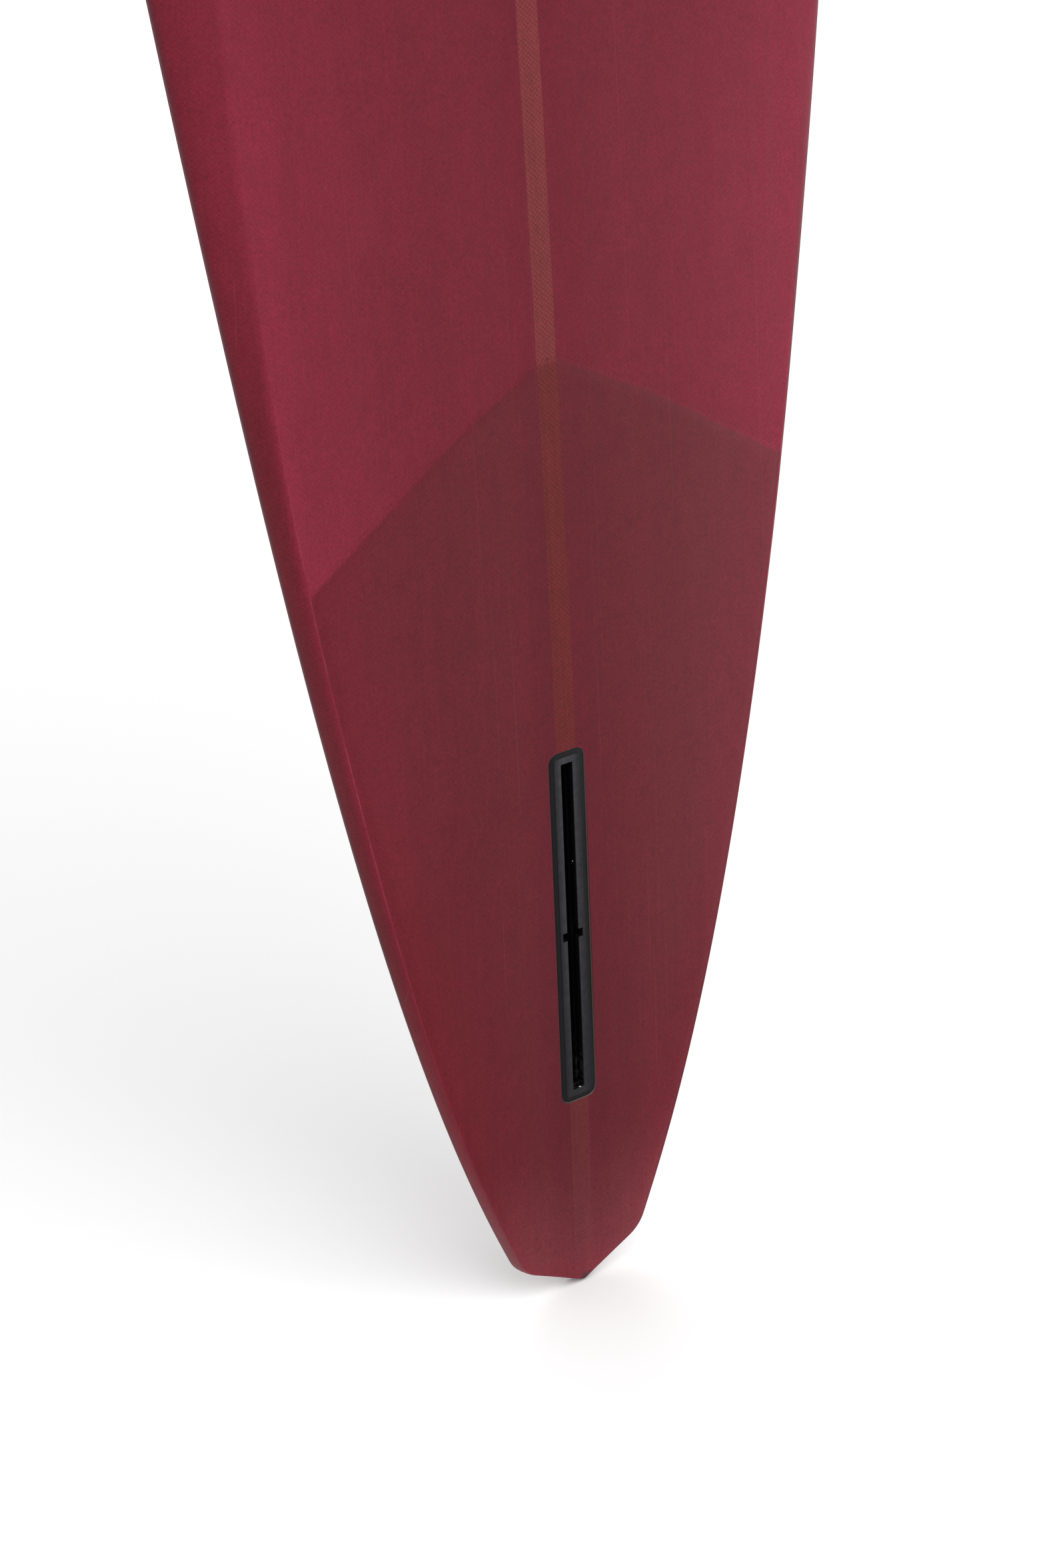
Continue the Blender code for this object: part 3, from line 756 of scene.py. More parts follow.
def stacked(loops, steps=BEVEL_STEPS):
    """A closed solid through rounded rectangles (width, length, radius, height)."""
    bm = bmesh.new()
    rings = []
    for loop in loops:
        rings.append([bm.verts.new(point) for point in rounded(*loop, steps)])
    for low, high in zip(rings, rings[1:]):
        for i, a in enumerate(low):
            j = (i + 1) % len(low)
            bm.faces.new((a, low[j], high[j], high[i]))
    bm.faces.new(rings[0][::-1])
    bm.faces.new(rings[-1])
    bmesh.ops.recalc_face_normals(bm, faces=bm.faces)
    return bm


def turned(profile, steps=ROUND_STEPS):
    """A closed solid from (radius, height) points turned about Z."""
    bm = bmesh.new()
    rings = []
    for radius, height in profile:
        count = 1 if radius == 0.0 else steps
        ring = []
        for i in range(count):
            turn = 2.0 * math.pi * i / steps
            ring.append(bm.verts.new((radius * math.cos(turn), radius * math.sin(turn), height)))
        rings.append(ring)
    for low, high in zip(rings, rings[1:]):
        for i in range(steps):
            j = (i + 1) % steps
            lows, highs = len(low), len(high)
            corners = [low[i % lows], low[j % lows], high[j % highs], high[i % highs]]
            bm.faces.new(list(dict.fromkeys(corners)))
    bmesh.ops.recalc_face_normals(bm, faces=bm.faces)
    return bm


def arc(centre, radius, start, end, steps):
    """Points (radius, height) of an arc, angles in degrees from +radius towards +height."""
    points = []
    for i in range(steps + 1):
        turn = math.radians(start + (end - start) * i / steps)
        points.append((centre[0] + radius * math.cos(turn), centre[1] + radius * math.sin(turn)))
    return points


# ---- materials ----

class Look:
    """A Principled material put together from small steps."""

    def __init__(self, name, **fixed):
        self.material = bpy.data.materials.new(name)
        self.material.use_nodes = True
        self.nodes = self.material.node_tree.nodes
        self.links = self.material.node_tree.links
        self.shader = self.nodes["Principled BSDF"]
        for socket, value in fixed.items():
            self.shader.inputs[socket.replace("_", " ")].default_value = value
        self.axes = self.node("TexCoord").outputs["Object"]
        self.x, self.y, self.z = self.split(self.axes)

    def node(self, kind, inputs=None, **settings):
        """A node with its settings and inputs."""
        node = self.nodes.new("ShaderNode" + kind)
        for key, value in settings.items():
            setattr(node, key, value)
        for key, value in (inputs or {}).items():
            self.feed(node.inputs[key], value)
        return node

    def feed(self, socket, value):
        """Link a socket, or set its value."""
        if isinstance(value, bpy.types.NodeSocket):
            self.links.new(value, socket)
        else:
            socket.default_value = value

    def split(self, vector):
        """The three numbers of a vector."""
        return self.node("SeparateXYZ", {0: vector}).outputs

    def math(self, operation, *values):
        """A number from numbers."""
        return self.node("Math", dict(enumerate(values)), operation=operation).outputs[0]

    def add(self, *values):
        """A sum."""
        total = values[0]
        for value in values[1:]:
            total = self.math("ADD", total, value)
        return total

    def times(self, *values):
        """A product."""
        product = values[0]
        for value in values[1:]:
            product = self.math("MULTIPLY", product, value)
        return product

    def rest(self, share):
        """What a share leaves of 1."""
        return self.math("SUBTRACT", 1.0, share)

    def step(self, value, span, amounts=(0.0, 1.0)):
        """A smooth step between two amounts, as value goes from one end of span to the other."""
        start, end = span
        low, high = amounts
        inputs = {"Value": value, "From Min": start, "From Max": end, "To Min": low, "To Max": high}
        return self.node("MapRange", inputs, interpolation_type="SMOOTHSTEP").outputs[0]

    def distance(self, place):
        """How far it is to a place."""
        return self.node("VectorMath", {0: self.axes, 1: place}, operation="DISTANCE").outputs["Value"]

    def noise(self, waves, detail, shift=0.0):
        """Noise from 0 to 1."""
        size = waves if isinstance(waves, tuple) else (waves, waves, waves)
        place = self.node("Mapping", {"Vector": self.axes, "Scale": size, "Location": (shift,) * 3})
        inputs = {"Vector": place.outputs[0], "Scale": 1.0, "Detail": detail}
        return self.node("TexNoise", inputs).outputs["Fac"]

    def wobble(self, value, amount):
        """Noise turned into a number of about 0."""
        return self.times(self.math("SUBTRACT", value, 0.5), amount)

    def swing(self, value, amount):
        """Noise turned into a factor of about 1."""
        return self.add(self.wobble(value, 2.0 * amount), 1.0)

    def mix(self, share, first, second):
        """A colour between two."""
        node = self.node("Mix", data_type="RGBA")
        self.feed(node.inputs[0], share)
        for socket, colour in ((node.inputs[6], first), (node.inputs[7], second)):
            self.feed(socket, colour if isinstance(colour, bpy.types.NodeSocket) else (*colour, 1.0))
        return node.outputs[2]

    def mix_value(self, share, first, second):
        """A number between two."""
        return self.node("Mix", {0: share, 2: first, 3: second}, clamp_factor=False).outputs[0]

    def multiply(self, first, second):
        """A colour times a colour."""
        return self.node("VectorMath", {0: first, 1: second}, operation="MULTIPLY").outputs[0]

    def plus(self, first, second):
        """A colour and a colour on top."""
        return self.node("VectorMath", {0: first, 1: second}, operation="ADD").outputs[0]

    def scale(self, colour, factor):
        """A colour times a number."""
        inputs = {0: colour, "Scale": factor}
        return self.node("VectorMath", inputs, operation="SCALE").outputs[0]

    def dots(self, per_metre, radius, share):
        """1 on scattered round dots, 0 elsewhere."""
        cells = self.node("TexVoronoi", {"Vector": self.axes, "Scale": per_metre})
        chosen = self.math("LESS_THAN", self.split(cells.outputs["Color"])[0], share)
        reach = radius * per_metre
        return self.times(chosen, self.step(cells.outputs["Distance"], (reach, DOT_CORE * reach)))

    def done(self, colour, roughness, height=None, relief=0.0):
        """Feed the shader. Height 0 to 1 stands for relief metres."""
        self.feed(self.shader.inputs["Base Color"], colour)
        self.feed(self.shader.inputs["Roughness"], roughness)
        if height is not None:
            bump = self.node("Bump", {"Height": height, "Distance": relief, "Strength": 1.0})
            self.feed(self.shader.inputs["Normal"], bump.outputs[0])
        return self.material


class Skin(Look):
    """Sanded resin tint over woven cloth, with the stringer showing through it."""

    def __init__(self, name, layered):
        super().__init__(name, Specular_IOR_Level=SKIN_SPECULAR)
        marks = self.node("Attribute", attribute_name="marks").outputs["Vector"]
        self.worn, self.lap, edge = self.split(marks)
        self.outwards = self.node("Attribute", attribute_name="across").outputs["Fac"]
        self.on_right = self.step(self.x, RIGHT_HALF)
        self.to_middle = self.math("ABSOLUTE", self.x)
        self.weave = self.cloth()
        self.over_wood = self.stringer_share()
        self.layers = self.layer_share(edge) if layered else 0.0
        self.rim = 0.0 if layered else edge
        self.noises = {key: self.noise(*waves) for key, (waves, amount) in SKIN_NOISES.items()}

    def cloth(self):
        """The weave, up and down from -1 to 1."""
        wander = self.wobble(self.noise(*WANDER_NOISE), THREAD_PITCH)
        across = self.math("SINE", self.times(self.add(self.x, wander), math.pi / THREAD_PITCH))
        along = self.math("SINE", self.times(self.add(self.z, wander), math.pi / THREAD_PITCH))
        return self.times(across, along)

    def stringer_share(self):
        """How much of the stringer shows."""
        woven_edge = self.add(self.to_middle, self.times(self.weave, WOOD_WAVER))
        over_wood = self.step(woven_edge, (STRINGER_HALF + WOOD_BLUR, STRINGER_HALF - WOOD_BLUR))
        return self.times(over_wood, self.step(self.z, WOOD_APPEARS, (WOOD_AT_TIP, 1.0)))

    def layer_share(self, front):
        """1 where there are two layers of cloth, 0 beyond the patch's ragged front line."""
        ragged = self.add(front, self.wobble(self.noise(*FRONT_NOISE), FRONT_RAGGED))
        return self.step(ragged, FRONT_STEP)

    def cloth_tint(self):
        """The tint over foam and wood, in one layer and two."""
        rings = self.mix(self.noise(*RING_NOISE), WOOD_DARK, WOOD_LIGHT)
        wood = self.scale(rings, self.step(self.z, WOOD_LIGHTENS, (REAR_WOOD, 1.0)))
        single = self.mix(self.over_wood, SINGLE_TINT, wood)
        under_patch = self.mix(self.step(self.z, WOOD_GREYS), WOOD_UNDER_PATCH, WOOD_AT_TAIL)
        double = self.mix(self.over_wood, DOUBLE_TINT, self.multiply(wood, under_patch))
        return self.mix(self.layers, single, double)

    def rail_tint(self, tint):
        """The lap's richer tint, which on the rail's underside also paints the shade of the rail's roll,
        and towards the nose stays on the left rail only as painted shade; painted light on the tail's
        tip; and a painted shade line along the rail's widest line.
        """
        # Painted shade: towards the nose the lap tint stays on the left rail only
        at_top = self.mix_value(self.on_right, LEFT_RAIL_SHADE_AT_TOP, 0.0)
        lapped = self.times(self.lap, self.step(self.z, LAP_SHADE_APPEARS, (at_top, 1.0)))
        lap_tint = self.mix(self.step(self.z, LAP_PALES), LAP_AND_RAIL_SHADE_TINT, TAIL_RAIL_TINT)
        # Painted light: the tail's tip lightens, as if lit by the floor below it
        tint = self.mix(self.step(self.z, TIP_LIGHT_FADES), self.mix(lapped, tint, lap_tint), TIP_BOUNCE_LIGHT)
        # Painted shade: a dark line along the rail's widest line, stronger towards the tail
        edge_shaded = self.times(self.rim, self.step(self.z, EDGE_SHADE_APPEARS, EDGE_SHADE_SHARE))
        return self.mix(edge_shaded, tint, RAIL_EDGE_SHADE)

    def tip_shade(self, tint):
        """A painted shade patch on the right of the tail's tip, where the tip's underside turns from the
        light.
        """
        away = self.distance(TIP_SHADE_AT)
        near = self.step(away, (TIP_SHADE_REACH, 0.0))
        shaded = self.step(self.add(near, self.wobble(self.noise(*TIP_SHADE_NOISE), 1.0)), TIP_SHADE_STEP)
        inside = self.step(away, (TIP_SHADE_REACH, TIP_SHADE_CORE * TIP_SHADE_REACH))
        return self.mix(self.times(shaded, inside, TIP_SHADE_SHARE), tint, TIP_SHADE_TINT)

    def shade(self):
        """How light it is for the weave, the noises and the place along the board."""
        patchy = self.swing(self.noise(*PATCHY_NOISE), PATCHINESS)
        below = self.step(self.z, WEAVE_CLEARS, (WEAVE_AT_TAIL * WEAVE_UNDER_PATCH, WEAVE_UNDER_PATCH))
        there = self.mix_value(self.layers, WEAVE_ON_WOOD - WEAVE_ON_FOAM, below)
        contrast = self.add(self.times(self.over_wood, there, patchy), WEAVE_ON_FOAM)
        shade = self.add(self.times(self.weave, contrast), 1.0)
        for key, (waves, amount) in SKIN_NOISES.items():
            shade = self.times(shade, self.swing(self.noises[key], amount))
        return self.times(shade, self.step(self.z, TAIL_LIGHTENS, (TAIL_SHADE, 1.0)))

    def painted_light(self):
        """Painted light across the board, as a factor: lighter towards the rails as if lit through the
        thin foam, more so on the right, darker beside the stringer, and a painted shade strip on the
        left.
        """
        double = self.mix(self.on_right, LEFT_PAINTED_LIGHT, RIGHT_PAINTED_LIGHT)
        full = self.mix(self.layers, SINGLE_PAINTED_LIGHT, double)
        painted_light = self.mix(self.math("POWER", self.outwards, PAINTED_LIGHT_POWER), WHITE, full)
        beside = self.times(self.step(self.to_middle, WOOD_SHADOW), self.rest(self.over_wood))
        painted_light = self.multiply(painted_light, self.mix(beside, WHITE, BESIDE_WOOD))
        # Painted shade strip on the left half, for the sheen missing on the side turned from the light
        left_shade = self.times(self.rest(self.on_right), self.step(self.outwards, LEFT_SHADE_OUTWARDS))
        left_shade = self.times(left_shade, self.step(self.z, LEFT_SHADE_STARTS), self.step(self.z, LEFT_SHADE_ENDS))
        return self.multiply(painted_light, self.mix(left_shade, WHITE, LEFT_SHADE_STRIP))

    def painted_sheen(self):
        """Painted sheen: a pale grey added over the patch's right half."""
        sheeny = self.times(self.step(self.outwards, SHEEN_OUTWARDS), self.on_right)
        sheeny = self.times(sheeny, self.step(self.z, SHEEN_APPEARS), self.rest(self.over_wood))
        return self.scale(RIGHT_SHEEN, self.times(sheeny, self.layers))

    def wear(self, tint):
        """Scratches, the worn hard edge and pinholes."""
        lines = self.step(self.noise(*SCRATCH_NOISE), SCRATCH_STEP)
        tint = self.mix(self.times(lines, SCRATCH_SHARE), tint, SCRATCH)
        where = self.times(self.step(self.z, WORN_STARTS), self.step(self.z, WORN_ENDS))
        rubbed = self.times(self.worn, where, self.step(self.noise(*WORN_NOISE), WORN_STEP))
        tint = self.mix(self.times(rubbed, WORN_SHARE), tint, WORN_TINT)
        pinholes = self.dots(PINHOLES_PER_METRE, PINHOLE_RADIUS, PINHOLE_CELLS)
        return self.mix(self.times(pinholes, PINHOLE_SHARE), tint, PINHOLE)


def tinted_skin(name, layered):
    """The look of a laminate, or of a patch where layered is true."""
    look = Skin(name, layered)
    tint = look.tip_shade(look.rail_tint(look.cloth_tint()))
    tint = look.scale(look.multiply(tint, look.painted_light()), look.shade())
    tint = look.wear(look.plus(tint, look.painted_sheen()))
    streaks, mottle, grain = (look.noises[key] for key in ("streaks", "mottle", "grain"))
    roughness = look.mix_value(streaks, *SKIN_ROUGHNESS)
    height = look.add(look.times(look.weave, WEAVE_RELIEF), look.times(streaks, STREAK_RELIEF))
    height = look.add(height, look.times(mottle, MOTTLE_RELIEF), grain)
    return look.done(tint, roughness, height, SKIN_RELIEF)


def box_plastic():
    """Moulded black plastic, sanded grey on its face, most of all beside the slot."""
    look = Look("fin_box_plastic", Specular_IOR_Level=BOX_SPECULAR)
    noises = {key: look.noise(*waves) for key, (waves, amount) in BOX_NOISES.items()}
    shade = 1.0
    for key, (waves, amount) in BOX_NOISES.items():
        shade = look.times(shade, look.swing(noises[key], amount))
    to_middle = look.math("ABSOLUTE", look.x)
    light = look.step(to_middle, (FACE_WIDTH / 2, SLOT_WIDTH / 2), (FACE_EDGE_LIGHT, 1.0))
    forward = look.step(look.y, (-BOX_LENGTH / 2, BOX_LENGTH / 4), (FACE_REAR_LIGHT, 1.0))
    face = look.scale(look.mix(look.times(light, forward), BOX_FACE_DARK, BOX_FACE_LIGHT), shade)

    inside = look.math("LESS_THAN", to_middle, TRACK_WIDTH / 2 + GAP)
    inside = look.times(inside, look.math("GREATER_THAN", look.y, -SLOT_LENGTH / 2 - GAP))
    grime = look.times(look.step(look.noise(*GRIME_NOISE), BOX_GRIME), look.step(look.y, BOX_REAR))
    # Painted shade: the slot's walls darken with depth
    walls = look.mix(look.step(look.z, BOX_SHADE_DEPTHS), BOX_SLOT_SHADE, BOX_BORDER)
    walls = look.mix(look.times(grime, inside, BOX_GRIME_SHARE), walls, BOX_DUST)
    sanded = look.step(look.z, BOX_SANDED)
    colour = look.mix(sanded, walls, face)
    # A bright dust speck and a painted glint in the slot
    for place, radius in BOX_DUST_AND_GLINT_SPOTS:
        dust_glint = look.step(look.distance(place), (radius, DUST_GLINT_CORE * radius))
        colour = look.mix(dust_glint, colour, BOX_DUST_AND_GLINT)

    scratched = look.times(noises["scratches"], SCRATCHES_ROUGHEN)
    roughness = look.add(look.mix_value(sanded, *BOX_ROUGHNESS), scratched)
    fine = look.times(look.add(noises["cross"], noises["dust"]), FINE_RELIEF)
    return look.done(colour, roughness, look.add(noises["scratches"], fine), BOX_RELIEF)


def resin_bed():
    """Filled resin, cloudy, with a paler line on top."""
    look = Look("potting_resin", Specular_IOR_Level=RESIN_SPECULAR)
    clouds = look.noise(*RESIN_NOISE)
    colour = look.mix(look.step(look.z, BED_RIM), RESIN_DEEP, look.mix(clouds, *RESIN_TONES))
    return look.done(colour, look.mix_value(clouds, *RESIN_ROUGHNESS), clouds, RESIN_RELIEF)


def cup_plastic():
    """Fine-grained black plastic."""
    look = Look("leash_cup_plastic", Specular_IOR_Level=CUP_SPECULAR)
    grain, scuffs = look.noise(*CUP_GRAIN), look.noise(*CUP_SCUFFS)
    colour = look.scale(look.mix(scuffs, *CUP_TONES), look.swing(grain, GRAIN_SHADE))
    return look.done(colour, look.mix_value(scuffs, *CUP_ROUGHNESS), grain, CUP_RELIEF)


def steel():
    """Stainless steel, brushed along the bar."""
    look = Look("leash_pin_steel", Metallic=1.0)
    brushing = look.noise(*STEEL_NOISE)
    colour = look.mix(brushing, *STEEL_TONES)
    return look.done(colour, look.mix_value(brushing, *STEEL_ROUGHNESS), brushing, STEEL_RELIEF)


def foam():
    """Shaped polyurethane foam, with fine cells."""
    look = Look("foam", Specular_IOR_Level=FOAM_SPECULAR)
    cells = look.node("TexVoronoi", {"Vector": look.axes, "Scale": FOAM_CELLS}).outputs["Distance"]
    colour = look.scale(look.mix(look.noise(*FOAM_NOISE), *FOAM_TONES), look.swing(cells, CELL_SHADE))
    return look.done(colour, look.mix_value(cells, *FOAM_ROUGHNESS), cells, FOAM_RELIEF)


def stringer_wood():
    """A thin wooden strip, grained along the board."""
    look = Look("stringer_wood", Specular_IOR_Level=WOOD_SPECULAR)
    rings, pores = look.noise(*WOOD_RINGS), look.noise(*WOOD_PORES)
    colour = look.scale(look.mix(rings, *WOOD_TONES), look.swing(pores, GRAIN_SHADE))
    return look.done(colour, look.mix_value(pores, *WOOD_ROUGHNESS), pores, WOOD_RELIEF)


def floor_paint():
    """A plain pale studio floor."""
    look = Look("studio_floor", Specular_IOR_Level=FLOOR_SPECULAR)
    clouds = look.noise(*FLOOR_NOISE)
    return look.done(look.mix(clouds, *FLOOR_TONES), look.mix_value(clouds, *FLOOR_ROUGHNESS))


# ---- the pieces ----

def keep(piece, slot, *nodes):
    """Tie a piece to the frame."""
    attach(piece, "root")
    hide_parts(*nodes)


def spread(front):
    """A front line moved forward, for the visible edge to fade out where the line was."""
    return [(x, s + FRONT_SPREAD) for x, s in front]


def patch_rows(rows, front):
    """Rows for a patch, with straight ones towards the front line's point."""
    start = front[-1][1] - STRAIGHT_ROWS_FROM
    end = front[0][1]
    behind = [row for row in rows if row[0].y < start]
    ahead = [row_across(start + (end - start) * i / FRONT_STEPS) for i in range(FRONT_STEPS + 1)]
    return behind + ahead


def tail_patch_side(row):
    """How far in from the outline the tail patch ends."""
    return tuck_reach(row[0].y) + TAIL_PATCH_MARGIN


def deck_patch_side(row):
    """How far in from the outline the deck patch ends."""
    return LAP + DECK_PATCH_SHARE * (row[2] - LAP)


def patch_skin(name, rows, cad_front, deck, side, look):
    """A patch on the bottom or the deck, from its CAD front line back."""
    front = spread(cad_front)

    def section(row):
        return patch_section(row, deck, side(row), front)

    return skin(name, patch_rows(rows, front), section, -GAP - PATCH, -PATCH_FLOOR, look)


def make_skins(rows, box_pocket, patch_hole, cup_pocket):
    """The two laminates, and the patches over them."""
    laminate = tinted_skin("tinted_laminate", False)
    layered = tinted_skin("tinted_patch", True)

    bottom = skin("bottom_skin", rows, bottom_section, 0.0, LAMINATE, laminate)
    cut(bottom, box_pocket)
    keep(bottom, "tinted_laminate", "bottom_laminate")

    deck = skin("deck_skin", rows, deck_section, 0.0, LAMINATE, laminate)
    cut(deck, cup_pocket)
    keep(deck, "tinted_laminate", "deck_laminate")

    tail = patch_skin("tail_patch_skin", rows, TAIL_PATCH_FRONT, False, tail_patch_side, layered)
    cut(tail, patch_hole)
    keep(tail, "tinted_patch", "tail_patch")

    standing = patch_skin("deck_patch_skin", rows, DECK_PATCH_FRONT, True, deck_patch_side, layered)
    cut(standing, cup_pocket)
    keep(standing, "tinted_patch", "deck_patch")


def box_place():
    """The middle of the fin box's face."""
    middle = (BOX_LOW.z + BOX_HIGH.z) / 2
    tilt = math.atan(-slope(rocker, middle))
    at = middle - (BOX_DEPTH + SHOULDER) / 2 * math.sin(tilt)
    y = rocker(at) - GAP - PATCH + BOX_SINK - DEPTH_CENTRE
    return Matrix.Translation((0.0, y, at)) @ Matrix.Rotation(math.pi / 2 + tilt, 4, "X")


def cup_place():
    """The middle of the leash cup's rim."""
    middle = (CUP_LOW.z + CUP_HIGH.z) / 2
    tilt = math.atan(slope(deck_line, middle))
    at = middle - CUP_DEPTH / 2 * math.sin(tilt)
    y = deck_line(at) + GAP + PATCH - DEPTH_CENTRE
    return Matrix.Translation((0.0, y, at)) @ Matrix.Rotation(-math.pi / 2 - tilt, 4, "X")


def box_size(by=0.0):
    """Width, length and corner radius of the fin box, by so much larger each way."""
    return BOX_WIDTH + 2 * by, BOX_LENGTH + 2 * by, BOX_RADIUS + by


def grown(by, low, high):
    """A block round the fin box, by so much larger each way."""
    return stacked([(*box_size(by), low), (*box_size(by), high)])


def box_blank():
    """The fin box before its openings are cut, with rounded shoulders round its face."""
    loops = [
        (*box_size(-BOX_EDGE), -BOX_DEPTH),
        (*box_size(), -BOX_DEPTH + BOX_EDGE),
        (*box_size(), -SHOULDER - BOX_EDGE),
        (*box_size(-BOX_EDGE / 2), -SHOULDER - BEVEL_DROP * BOX_EDGE),
        (*box_size(-BOX_EDGE), -SHOULDER),
    ]
    for out, drop in SHOULDER_CURVE:
        loops.append((FACE_WIDTH + 2 * out, FACE_LENGTH + 2 * out, FACE_RADIUS + out, -drop))
    return stacked(loops)


def opening(width, length, foot, place):
    """A cutter for an opening in the fin box's face, with a chamfered mouth."""
    places = [(0.0, foot), (0.0, -SLOT_CHAMFER), (SLOT_CHAMFER / 2, -BEVEL_DROP * SLOT_CHAMFER)]
    places += [(SLOT_CHAMFER, 0.0), (SLOT_CHAMFER, CUT_ABOVE)]
    loops = [(width + 2 * out, length + 2 * out, 0.0, height) for out, height in places]
    return add_object("opening", stacked(loops, 0), None, place)


def make_fin_box(place):
    """The fin box, with a sanded face, chamfered slot edges, tracks and notch."""
    box = add_object("fin_box_shell", box_blank(), box_plastic(), place)
    slot = opening(SLOT_WIDTH, SLOT_LENGTH, -SLOT_DEPTH, place)
    notch_place = place @ Matrix.Translation((0.0, NOTCH_OFFSET, 0.0))
    notch = opening(NOTCH_WIDTH, NOTCH_LENGTH, -NOTCH_FOOT, notch_place)
    size = (TRACK_WIDTH, SLOT_LENGTH - 2 * TRACK_END, 0.0)
    track = add_object("track", stacked([(*size, -TRACK_FOOT), (*size, -TRACK_TOP)], 0), None, place)
    cut(box, slot, track, notch)
    remove(slot, track, notch)
    keep(box, "fin_box_plastic", "fin_box")


def make_box_bed(place):
    """The resin bed of the fin box, with a rounded rim beside the box."""
    inner, collar = box_size(BED_GAP), box_size(HALO)
    outer = box_size(GAP + POTTING)
    loops = [
        (*inner, -BOX_DEPTH - BED_GAP),
        (*inner, -SHOULDER - BOX_EDGE),
        (*box_size(BED_GAP + BED_EDGE / 2), -SHOULDER),
        (*box_size(HALO - BED_EDGE / 2), -HALO_SINK),
        (*collar, -HALO_SINK - BED_EDGE),
        (*collar, -LAMINATE - GAP - PATCH),
        (*outer, -LAMINATE - GAP - PATCH),
        (*outer, -BOX_DEPTH - GAP - POTTING),
    ]
    bed = add_object("fin_box_bed", stacked(loops), resin_bed(), place)
    shade_round(bed)
    keep(bed, "potting_resin", "fin_box_potting")


def bar_place(place):
    """The middle of the leash bar, which lies along its own Z."""
    return place @ Matrix.Translation((0.0, 0.0, -PIN_DEPTH)) @ Matrix.Rotation(math.pi / 2, 4, "Y")


def make_leash_cup(place):
    """The leash cup, with a rounded rim and bowl and sockets for its bar."""
    fillet, mouth, rim = CUP_BOWL_FILLET, CUP_MOUTH_ROUND, CUP_RIM_ROUND
    profile = [(0.0, -CUP_BOWL_DEPTH)]
    profile += arc((CUP_BOWL_RADIUS - fillet, fillet - CUP_BOWL_DEPTH), fillet, -90, 0, FILLET_STEPS)
    profile += arc((CUP_BOWL_RADIUS + mouth, -mouth), mouth, 180, 90, MOUTH_STEPS)
    profile += arc((CUP_RADIUS - rim, -rim), rim, 90, 0, EDGE_STEPS)
    profile += [(CUP_RADIUS, -CUP_DEPTH), (0.0, -CUP_DEPTH)]
    cup = add_object("leash_cup_shell", turned(profile), cup_plastic(), place)
    radius, half = PIN_RADIUS + BED_GAP, PIN_LENGTH / 2 + BED_GAP
    socket_bm = turned([(0.0, -half), (radius, -half), (radius, half), (0.0, half)])
    sockets = add_object("sockets", socket_bm, None, bar_place(place))
    cut(cup, sockets)
    remove(sockets)
    keep(cup, "leash_cup_plastic", "leash_cup")


def make_leash_bar(place):
    """The steel bar across the leash cup."""
    half = PIN_LENGTH / 2
    end = PIN_END_ROUND
    profile = [(0.0, -half)] + arc((PIN_RADIUS - end, end - half), end, -90, 0, EDGE_STEPS)
    profile += arc((PIN_RADIUS - end, half - end), end, 0, 90, EDGE_STEPS) + [(0.0, half)]
    bar = add_object("leash_bar", turned(profile), steel(), bar_place(place))
    shade_round(bar)
    keep(bar, "steel", "leash_pin")


def make_cup_bed(place):
    """The resin that the leash cup is set in."""
    inner = CUP_RADIUS + BED_GAP
    outer = CUP_RADIUS + GAP + POTTING
    floor = CUP_DEPTH + BED_GAP
    profile = [(0.0, -floor), (inner, -floor)]
    profile += [(inner + out, height) for out, height in CUP_BED_INSIDE]
    profile += [(outer + out, height) for out, height in CUP_BED_OUTSIDE]
    profile += [(outer, -floor - POTTING), (0.0, -floor - POTTING)]
    bed = add_object("leash_cup_bed", turned(profile), resin_bed(), place)
    shade_round(bed)
    keep(bed, "potting_resin", "leash_cup_potting")


def finish_cores():
    """Looks for the CAD nodes that stay."""
    looks = {"foam_core_left": foam(), "stringer": stringer_wood()}
    looks["foam_core_right"] = looks["foam_core_left"]
    for node, look in looks.items():
        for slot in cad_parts[node].material_slots:
            slot.material = look


# ---- the studio ----

def make_floor():
    """A plain pale floor, just under the board."""
    bm = bmesh.new()
    bmesh.ops.create_grid(bm, x_segments=FLOOR_STEPS, y_segments=FLOOR_STEPS, size=FLOOR_HALF)
    floor = add_object("studio_floor", bm, floor_paint())
    floor.location.z = LOW.z - FLOOR_GAP


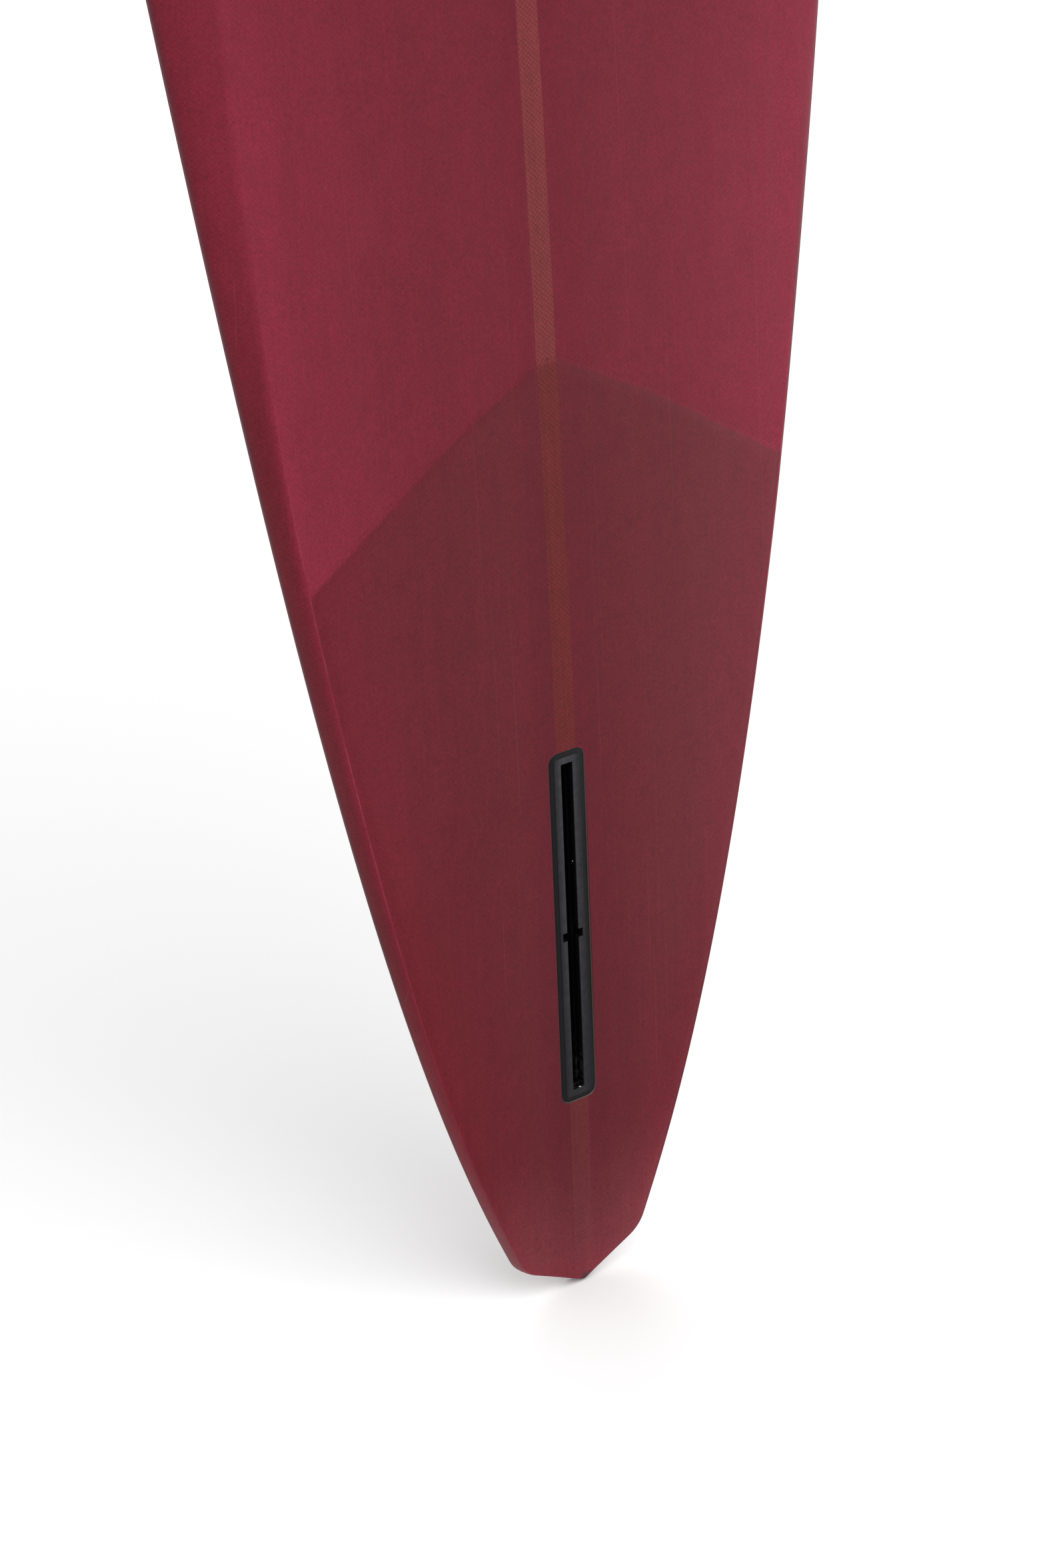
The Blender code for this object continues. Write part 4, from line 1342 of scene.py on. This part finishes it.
def make_lights():
    """Soft light from all round, and three lamps."""
    world = bpy.data.worlds.new("studio")
    world.use_nodes = True
    background = world.node_tree.nodes["Background"]
    background.inputs["Color"].default_value = (*WHITE, 1.0)
    background.inputs["Strength"].default_value = WORLD_STRENGTH
    bpy.context.scene.world = world
    for name, (place, target, size, power) in LIGHTS.items():
        light = bpy.data.lights.new(name, "AREA")
        light.shape = "DISK"
        light.size = size
        light.energy = power
        lamp = bpy.data.objects.new(name, light)
        lamp.location = place
        lamp.rotation_euler = (Vector(target) - Vector(place)).to_track_quat("-Z", "Y").to_euler()
        bpy.context.scene.collection.objects.link(lamp)
    bpy.context.scene.view_settings.view_transform = "Standard"


def make_camera():
    """The camera, below the middle of the board's bottom, to its left."""
    camera = bpy.data.cameras.new("camera")
    camera.lens = LENS
    camera.sensor_width = SENSOR
    camera.clip_end = VIEW_END
    obj = bpy.data.objects.new("camera", camera)
    back = -CAMERA_LOOK.normalized()
    right = CAMERA_UP.cross(back).normalized()
    up = back.cross(right)
    turn = Matrix((right, up, back)).transposed().to_4x4()
    obj.matrix_world = Matrix.Translation(CAMERA_AT) @ turn
    bpy.context.scene.collection.objects.link(obj)
    bpy.context.scene.camera = obj


def make_board():
    """Every piece of the board."""
    fin_place, leash_place = box_place(), cup_place()
    pocket = GAP + POTTING + GAP
    box_pocket = add_object("box_pocket", grown(pocket, -BOX_DEPTH - pocket, CUT_ABOVE), None, fin_place)
    patch_hole = add_object("patch_hole", grown(HALO, -BOX_DEPTH, CUT_ABOVE), None, fin_place)
    radius = CUP_RADIUS + pocket
    foot = -CUP_DEPTH - pocket
    cup_bm = turned([(0.0, foot), (radius, foot), (radius, CUT_ABOVE), (0.0, CUT_ABOVE)])
    cup_pocket = add_object("cup_pocket", cup_bm, None, leash_place)
    make_skins(board_rows(), box_pocket, patch_hole, cup_pocket)
    remove(box_pocket, patch_hole, cup_pocket)
    make_fin_box(fin_place)
    make_box_bed(fin_place)
    make_leash_cup(leash_place)
    make_leash_bar(leash_place)
    make_cup_bed(leash_place)
    finish_cores()


make_camera()
make_floor()
make_lights()
make_board()
